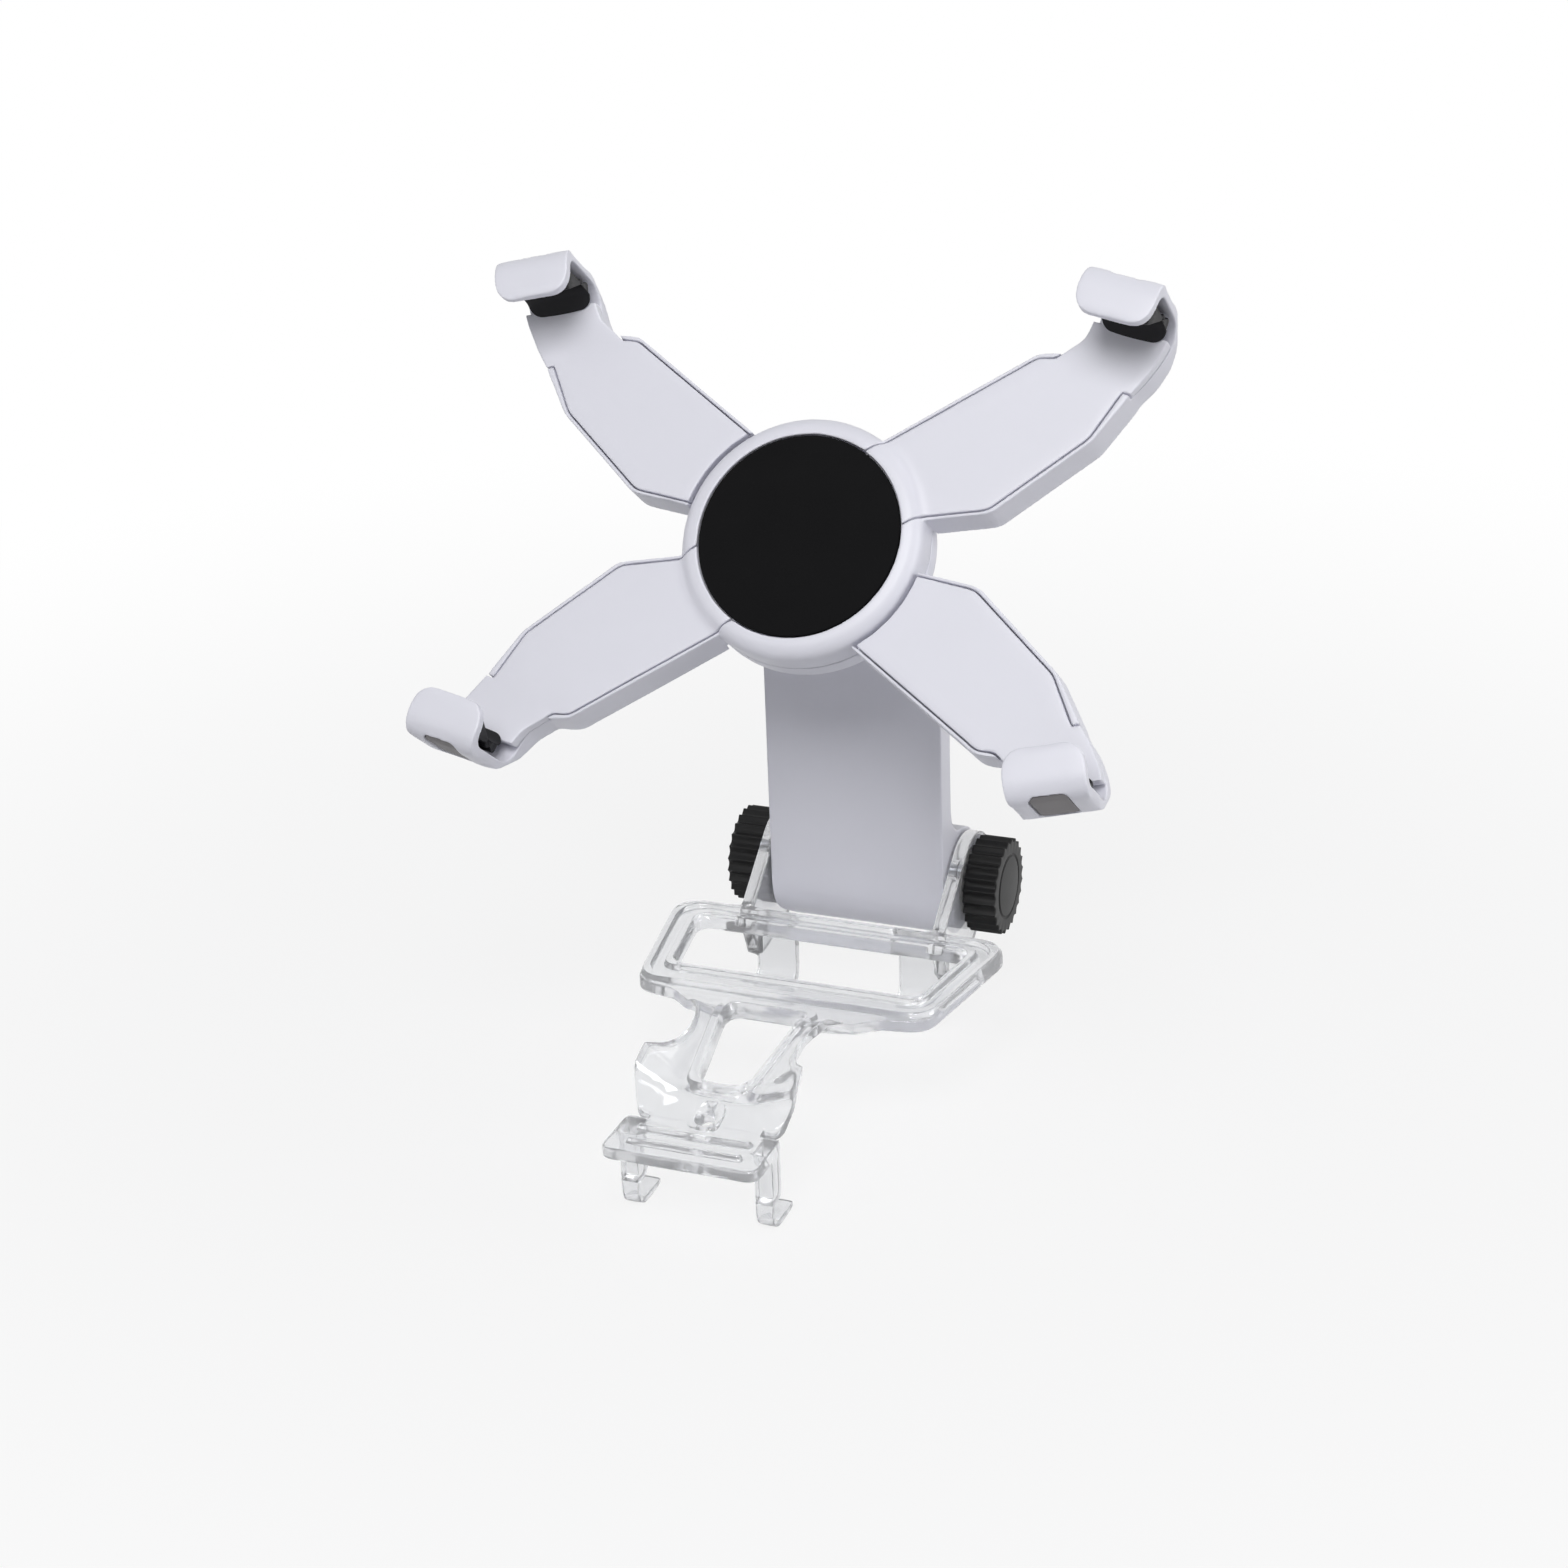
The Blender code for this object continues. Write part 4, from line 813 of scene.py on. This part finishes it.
@dataclass(frozen=True)
class CoverScrews:
    """The pan-head screws with cross recesses that hold the covers, sunk in the arms' backs."""

    spots: tuple[tuple[float, float], ...] = ((36.0, -3.4), (54.03, -3.2))
    seat: float = -8.2
    head_radius: float = 2.55
    head_height: float = 1.55
    recess_width: float = 0.62
    recess_length: float = 2.9
    recess_depth: float = 0.95
    shank_radius: float = 1.15
    shank_length: float = 4.6
    seed: int = 7

    def build(self, body: str, place: ClampPlace, hooks: Sequence[str]) -> None:
        """Set a screw at every spot of a bar's arms.

        Args:
            body: The CAD body they ride on.
            place: Where the arms stand.
            hooks: The names of the bar's hooks, one for each arm.
        """
        axis = place.clamp().to_3x3() @ Vector((0.0, 0.0, -1.0))
        mesh = bpy.data.meshes.new("spots")
        seats = [place.arm(hook) @ Vector((*spot, self.seat)) for hook in hooks for spot in self.spots]
        mesh.from_pydata(seats, [], [])
        screws = new_object(f"cover_screws_{body}", mesh)
        grown_by(screws, screw_tree(), {
            "Facing": axis, "Head radius": self.head_radius, "Head height": self.head_height,
            "Recess width": self.recess_width, "Recess length": self.recess_length,
            "Recess depth": self.recess_depth, "Shank radius": self.shank_radius,
            "Shank length": self.shank_length, "Seed": self.seed, "Finish": ZINC_STEEL.material()})
        screws.data.transform(Matrix.Scale(MILLIMETRE, 4))
        nodes = [f"cover_screw_{hook}_{end}" for hook in hooks for end in ("inner", "outer")]
        dress(screws, ZINC_STEEL, body, *nodes)


def screw_tree() -> bpy.types.NodeTree:
    """Build the tree that sets a cross-recessed pan-head screw on every point.

    Returns:
        The Geometry Nodes tree.
    """
    name = "cover screws"
    if name in bpy.data.node_groups:
        return bpy.data.node_groups[name]
    tree = bpy.data.node_groups.new(name, "GeometryNodeTree")
    face = tree.interface
    face.new_socket("Geometry", in_out="OUTPUT", socket_type="NodeSocketGeometry")
    face.new_socket("Geometry", in_out="INPUT", socket_type="NodeSocketGeometry")
    face.new_socket("Facing", in_out="INPUT", socket_type="NodeSocketVector")
    for label in ("Head radius", "Head height", "Recess width", "Recess length", "Recess depth", "Shank radius",
                  "Shank length"):
        face.new_socket(label, in_out="INPUT", socket_type="NodeSocketFloat")
    face.new_socket("Seed", in_out="INPUT", socket_type="NodeSocketInt")
    face.new_socket("Finish", in_out="INPUT", socket_type="NodeSocketMaterial")
    given = add_node(tree, "NodeGroupInput").outputs
    tall, wide = given["Head height"], given["Head radius"]
    edge = add_node(tree, "ShaderNodeMath", {0: tall, 1: 0.45}, operation="MULTIPLY").outputs[0]
    crown = add_node(tree, "ShaderNodeMath", {0: tall, 1: edge}, operation="SUBTRACT").outputs[0]
    narrow = add_node(tree, "ShaderNodeMath", {0: wide, 1: 0.66}, operation="MULTIPLY").outputs[0]
    half_edge = add_node(tree, "ShaderNodeMath", {0: edge, 1: 0.5}, operation="MULTIPLY").outputs[0]
    collar = lifted(tree, add_node(tree, "GeometryNodeMeshCylinder", {
        "Vertices": 48, "Radius": given["Head radius"], "Depth": edge}).outputs["Mesh"], half_edge)
    dome = lifted(tree, add_node(tree, "GeometryNodeMeshCone", {
        "Vertices": 48, "Side Segments": 6, "Radius Top": narrow, "Radius Bottom": given["Head radius"],
        "Depth": crown}).outputs["Mesh"], edge)
    length = given["Shank length"]
    down = add_node(tree, "ShaderNodeMath", {0: length, 1: -0.5}, operation="MULTIPLY").outputs[0]
    shank = lifted(tree, add_node(tree, "GeometryNodeMeshCylinder", {
        "Vertices": 20, "Radius": given["Shank radius"], "Depth": length}).outputs["Mesh"], down)
    deep = add_node(tree, "ShaderNodeMath", {0: given["Recess depth"], 1: 2.0}, operation="MULTIPLY").outputs[0]
    bars = []
    for along, across in (("Recess length", "Recess width"), ("Recess width", "Recess length")):
        size = add_node(tree, "ShaderNodeCombineXYZ", {"X": given[along], "Y": given[across],
                                                       "Z": deep}).outputs[0]
        bars.append(lifted(tree, add_node(tree, "GeometryNodeMeshCube", {"Size": size}).outputs["Mesh"],
                           given["Head height"]))
    head = add_node(tree, "GeometryNodeMeshBoolean", operation="UNION", solver="EXACT")
    for part in (collar, dome):
        tree.links.new(part, head.inputs["Mesh 2"])
    cross = add_node(tree, "GeometryNodeMeshBoolean", {"Mesh 1": head.outputs["Mesh"]}, operation="DIFFERENCE",
                     solver="EXACT")
    for bar in bars:
        tree.links.new(bar, cross.inputs["Mesh 2"])
    whole = add_node(tree, "GeometryNodeJoinGeometry")
    for part in (cross.outputs["Mesh"], shank):
        tree.links.new(part, whole.inputs["Geometry"])
    turn = add_node(tree, "FunctionNodeAlignRotationToVector", {"Vector": given["Facing"]}, axis="Z")
    spin = add_node(tree, "FunctionNodeRandomValue", {"Min": 0.0, "Max": 1.5, "Seed": given["Seed"]},
                    data_type="FLOAT")
    own = add_node(tree, "FunctionNodeAxisAngleToRotation", {"Angle": spin.outputs[1]})
    aimed = add_node(tree, "FunctionNodeRotateRotation", {0: turn.outputs[0], 1: own.outputs[0]},
                     rotation_space="LOCAL")
    placed = add_node(tree, "GeometryNodeInstanceOnPoints", {"Points": given["Geometry"],
                                                             "Instance": whole.outputs[0],
                                                             "Rotation": aimed.outputs[0]})
    real = add_node(tree, "GeometryNodeRealizeInstances", {"Geometry": placed.outputs[0]})
    painted = add_node(tree, "GeometryNodeSetMaterial", {"Geometry": real.outputs[0],
                                                         "Material": given["Finish"]})
    add_node(tree, "NodeGroupOutput", {0: painted.outputs[0]})
    return tree


def lifted(tree: bpy.types.NodeTree, shape: bpy.types.NodeSocket,
           height: bpy.types.NodeSocket) -> bpy.types.NodeSocket:
    """Add the node that lifts a shape along Z.

    Args:
        tree: The tree that gets the nodes.
        shape: The shape's socket.
        height: The socket of how far it is lifted.

    Returns:
        The lifted shape's socket.
    """
    along = add_node(tree, "ShaderNodeCombineXYZ", {"Z": height}).outputs[0]
    return add_node(tree, "GeometryNodeTransform", {"Geometry": shape, "Translation": along}).outputs[0]


@dataclass
class ScissorBar:
    """One bar of the clamp: its shell, covers, liners and screws."""

    body: str
    shell: str
    covers: tuple[str, ...]
    hooks: tuple[str, str]
    shell_moulding: Moulding = field(default_factory=lambda: Moulding(0.32, 70, 40, 3, 150000))
    cover_moulding: Moulding = field(default_factory=lambda: Moulding(0.28, 70, 40, 2, 80000, 0.06))
    place: ClampPlace = ClampPlace()
    lining: HookLiner = HookLiner()
    screws: CoverScrews = CoverScrews()

    def build(self) -> None:
        """Skin and dress everything on the bar."""
        windows = [self.lining.block("window", self.place.hook(hook), 0.0, self.lining.window_from,
                                     self.lining.window_to) for hook in self.hooks]
        shell = self.shell_moulding.skin(self.shell, self.shell + "_moulding", windows)
        dress(shell, WHITE_ABS, self.body, self.shell)
        for cover in self.covers:
            dress(self.cover_moulding.skin(cover, cover + "_moulding"), WHITE_ABS, self.body, cover)
        for hook in self.hooks:
            self.line(hook)
        self.screws.build(self.body, self.place, self.hooks)

    def line(self, hook: str) -> None:
        """Make and dress one hook's liner and the lug in its window.

        Args:
            hook: The hook's name.
        """
        node = "hook_pad_" + hook
        liner = self.lining.liner(node + "_liner", self.place.hook(hook))
        smooth_out(liner, 1)
        dress(in_metres(liner), BLACK_RUBBER, self.body, node)
        lug = self.lining.block(node + "_lug", self.place.hook(hook), self.lining.lug_gap,
                                self.lining.lug_back, None)
        edge = lug.modifiers.new("soft rim", "BEVEL")
        edge.width = self.lining.lug_rim
        edge.segments = 3
        edge.angle_limit = math.radians(50.0)
        # The lug gets the rubber painted a lighter grey: painted light, not a colour of its own.
        dress(in_metres(with_modifiers(lug)), PAINTED_LIGHT_RUBBER, self.body, node)


@dataclass
class Hub:
    """The round pad on the clamp's middle and the friction disc under it."""

    place: ClampPlace = ClampPlace()
    pad_radius: float = 20.25
    pad_thick: float = 1.0

    def build(self) -> None:
        """Turn and dress the pad."""
        section = [(0.0, -self.pad_thick, 0.0), (self.pad_radius, -self.pad_thick, 0.15),
                   (self.pad_radius, 0.0, 0.45), (self.pad_radius * 0.6, 0.0, 0.3), (0.0, 0.0, 0.0)]
        pad = lathe("centre_pad_disc", softened(section), 144, self.place.clamp())
        dress(in_metres(pad), BLACK_FOAM, "front_bar", "centre_pad")
        dress_node("friction_disc", ACETAL)


# Studio

@dataclass
class Studio:
    """Camera, floor and lights."""

    eye: tuple[float, float, float] = (0.203452, -0.526475, 0.281230)
    right: tuple[float, float, float] = (0.93119, 0.36296, -0.03390)
    up: tuple[float, float, float] = (-0.11609, 0.38342, 0.91625)
    back: tuple[float, float, float] = (0.34556, -0.84927, 0.39917)
    focal_mm: float = 69.685
    floor_height: float = -0.0226
    floor_radius: float = 4.0
    floor_tone: str = "#CBCBCD"
    shade_share: float = 0.15
    shade_from: float = 0.10
    shade_to: float = 0.45
    sky_level: float = 0.11
    aim: tuple[float, float, float] = (0.0, -0.02, 0.06)

    def build(self) -> None:
        """Set up everything that isn't the object."""
        bpy.context.scene.view_settings.view_transform = "Standard"
        self.camera()
        self.floor()
        self.world()
        self.lamps()

    def camera(self) -> None:
        """Stand the camera where the photograph was taken."""
        lens = bpy.data.cameras.new("camera")
        lens.sensor_width = 36.0
        lens.lens = self.focal_mm
        lens.clip_start = 0.01
        lens.clip_end = 50.0
        stand = bpy.data.objects.new("camera", lens)
        turn = Matrix((self.right, self.up, self.back)).transposed().to_4x4()
        stand.matrix_world = Matrix.Translation(self.eye) @ turn
        bpy.context.scene.collection.objects.link(stand)
        bpy.context.scene.camera = stand

    def floor(self) -> None:
        """Lay a plain pale floor that is white to the camera but for the object's shadow."""
        shape = bmesh.new()
        bmesh.ops.create_circle(shape, cap_ends=True, segments=96, radius=self.floor_radius)
        bmesh.ops.translate(shape, verts=shape.verts, vec=(0.0, 0.0, self.floor_height))
        mesh = bpy.data.meshes.new("floor")
        shape.to_mesh(mesh)
        shape.free()
        slab = new_object("floor", mesh)
        made = bpy.data.materials.new("pale_matt_floor")
        made.use_nodes = True
        tree = made.node_tree
        tree.nodes.clear()
        matt = add_node(tree, "ShaderNodeBsdfDiffuse", {"Color": linear(self.floor_tone)})
        white = add_node(tree, "ShaderNodeEmission", {"Color": (1.0, 1.0, 1.0, 1.0), "Strength": 1.0})
        place = add_node(tree, "ShaderNodeTexCoord").outputs["Object"]
        reach = add_node(tree, "ShaderNodeVectorMath", {0: place}, operation="LENGTH").outputs["Value"]
        far = add_node(tree, "ShaderNodeMapRange", {"Value": reach, "From Min": self.shade_from,
                                                    "From Max": self.shade_to,
                                                    "To Min": 1.0 - self.shade_share, "To Max": 1.0},
                       interpolation_type="SMOOTHSTEP")
        seen = self.direct_sight(tree)
        share = add_node(tree, "ShaderNodeMath", {0: far.outputs["Result"], 1: seen}, operation="MULTIPLY")
        mixed = add_node(tree, "ShaderNodeMixShader", {0: share.outputs[0], 1: matt.outputs[0],
                                                       2: white.outputs[0]})
        add_node(tree, "ShaderNodeOutputMaterial", {"Surface": mixed.outputs[0]})
        slab.data.materials.append(made)

    def direct_sight(self, tree: bpy.types.NodeTree) -> bpy.types.NodeSocket:
        """Tell the rays that show the background from those that light the object.

        Args:
            tree: The tree that gets the nodes.

        Returns:
            A value of 1 for rays from the camera, from gloss and through clear plastic.
        """
        ray = add_node(tree, "ShaderNodeLightPath").outputs
        seen = add_node(tree, "ShaderNodeMath", {0: ray["Is Camera Ray"], 1: ray["Is Transmission Ray"]},
                        operation="MAXIMUM")
        return add_node(tree, "ShaderNodeMath", {0: seen.outputs[0], 1: ray["Is Glossy Ray"]},
                        operation="MAXIMUM").outputs[0]

    def world(self) -> None:
        """Light the object dimly from all round, and show white to the camera, gloss and clear plastic."""
        world = bpy.data.worlds.new("studio")
        world.use_nodes = True
        bpy.context.scene.world = world
        tree = world.node_tree
        tree.nodes.clear()
        seen = self.direct_sight(tree)
        dim = add_node(tree, "ShaderNodeBackground", {"Color": (0.95, 0.97, 1.0, 1.0),
                                                      "Strength": self.sky_level})
        white = add_node(tree, "ShaderNodeBackground", {"Color": (1.0, 1.0, 1.0, 1.0), "Strength": 1.0})
        mixed = add_node(tree, "ShaderNodeMixShader", {0: seen, 1: dim.outputs[0], 2: white.outputs[0]})
        add_node(tree, "ShaderNodeOutputWorld", {"Surface": mixed.outputs[0]})

    def lamps(self) -> None:
        """Hang the main soft box high in front, and weaker ones behind and at each side."""
        self.soft_box("front_box", (0.15, -0.68, 0.84), 0.5, 7.2)
        self.soft_box("back_box", (0.45, 0.50, 0.75), 0.6, 1.0)
        self.soft_box("left_box", (-0.75, -0.65, 0.35), 0.5, 0.5)
        self.soft_box("right_box", (0.95, 0.10, 0.30), 0.5, 3.0)

    def soft_box(self, name: str, place: tuple[float, float, float], size: float, power: float) -> None:
        """Hang one square lamp that faces the object.

        Args:
            name: The lamp's name.
            place: Where it hangs, in metres.
            size: Its side, in metres.
            power: Its power, in watts.
        """
        light = bpy.data.lights.new(name, "AREA")
        light.shape = "SQUARE"
        light.size = size
        light.energy = power
        lamp = bpy.data.objects.new(name, light)
        lamp.location = place
        sight = Vector(self.aim) - Vector(place)
        lamp.rotation_euler = sight.to_track_quat("-Z", "Y").to_euler()
        bpy.context.scene.collection.objects.link(lamp)


def main() -> None:
    """Build every sub-assembly and the studio."""
    logging.basicConfig(level=logging.INFO, format="%(name)s: %(message)s", stream=sys.stdout)
    ClearBracket().build()
    Neck().build()
    for side in ("left", "right"):
        ThumbKnob(side).build()
    ScissorBar("rear_bar", "rear_bar_shell", ("arm_cover_upper_left", "arm_cover_lower_right"),
               ("upper_left", "lower_right"), lining=HookLiner(shift=0.5)).build()
    ScissorBar("front_bar", "front_bar_shell", ("front_bar_cover",), ("upper_right", "lower_left"),
               lining=HookLiner(shift=-0.5)).build()
    Hub().build()
    Studio().build()


if __name__ == "__main__":
    main()
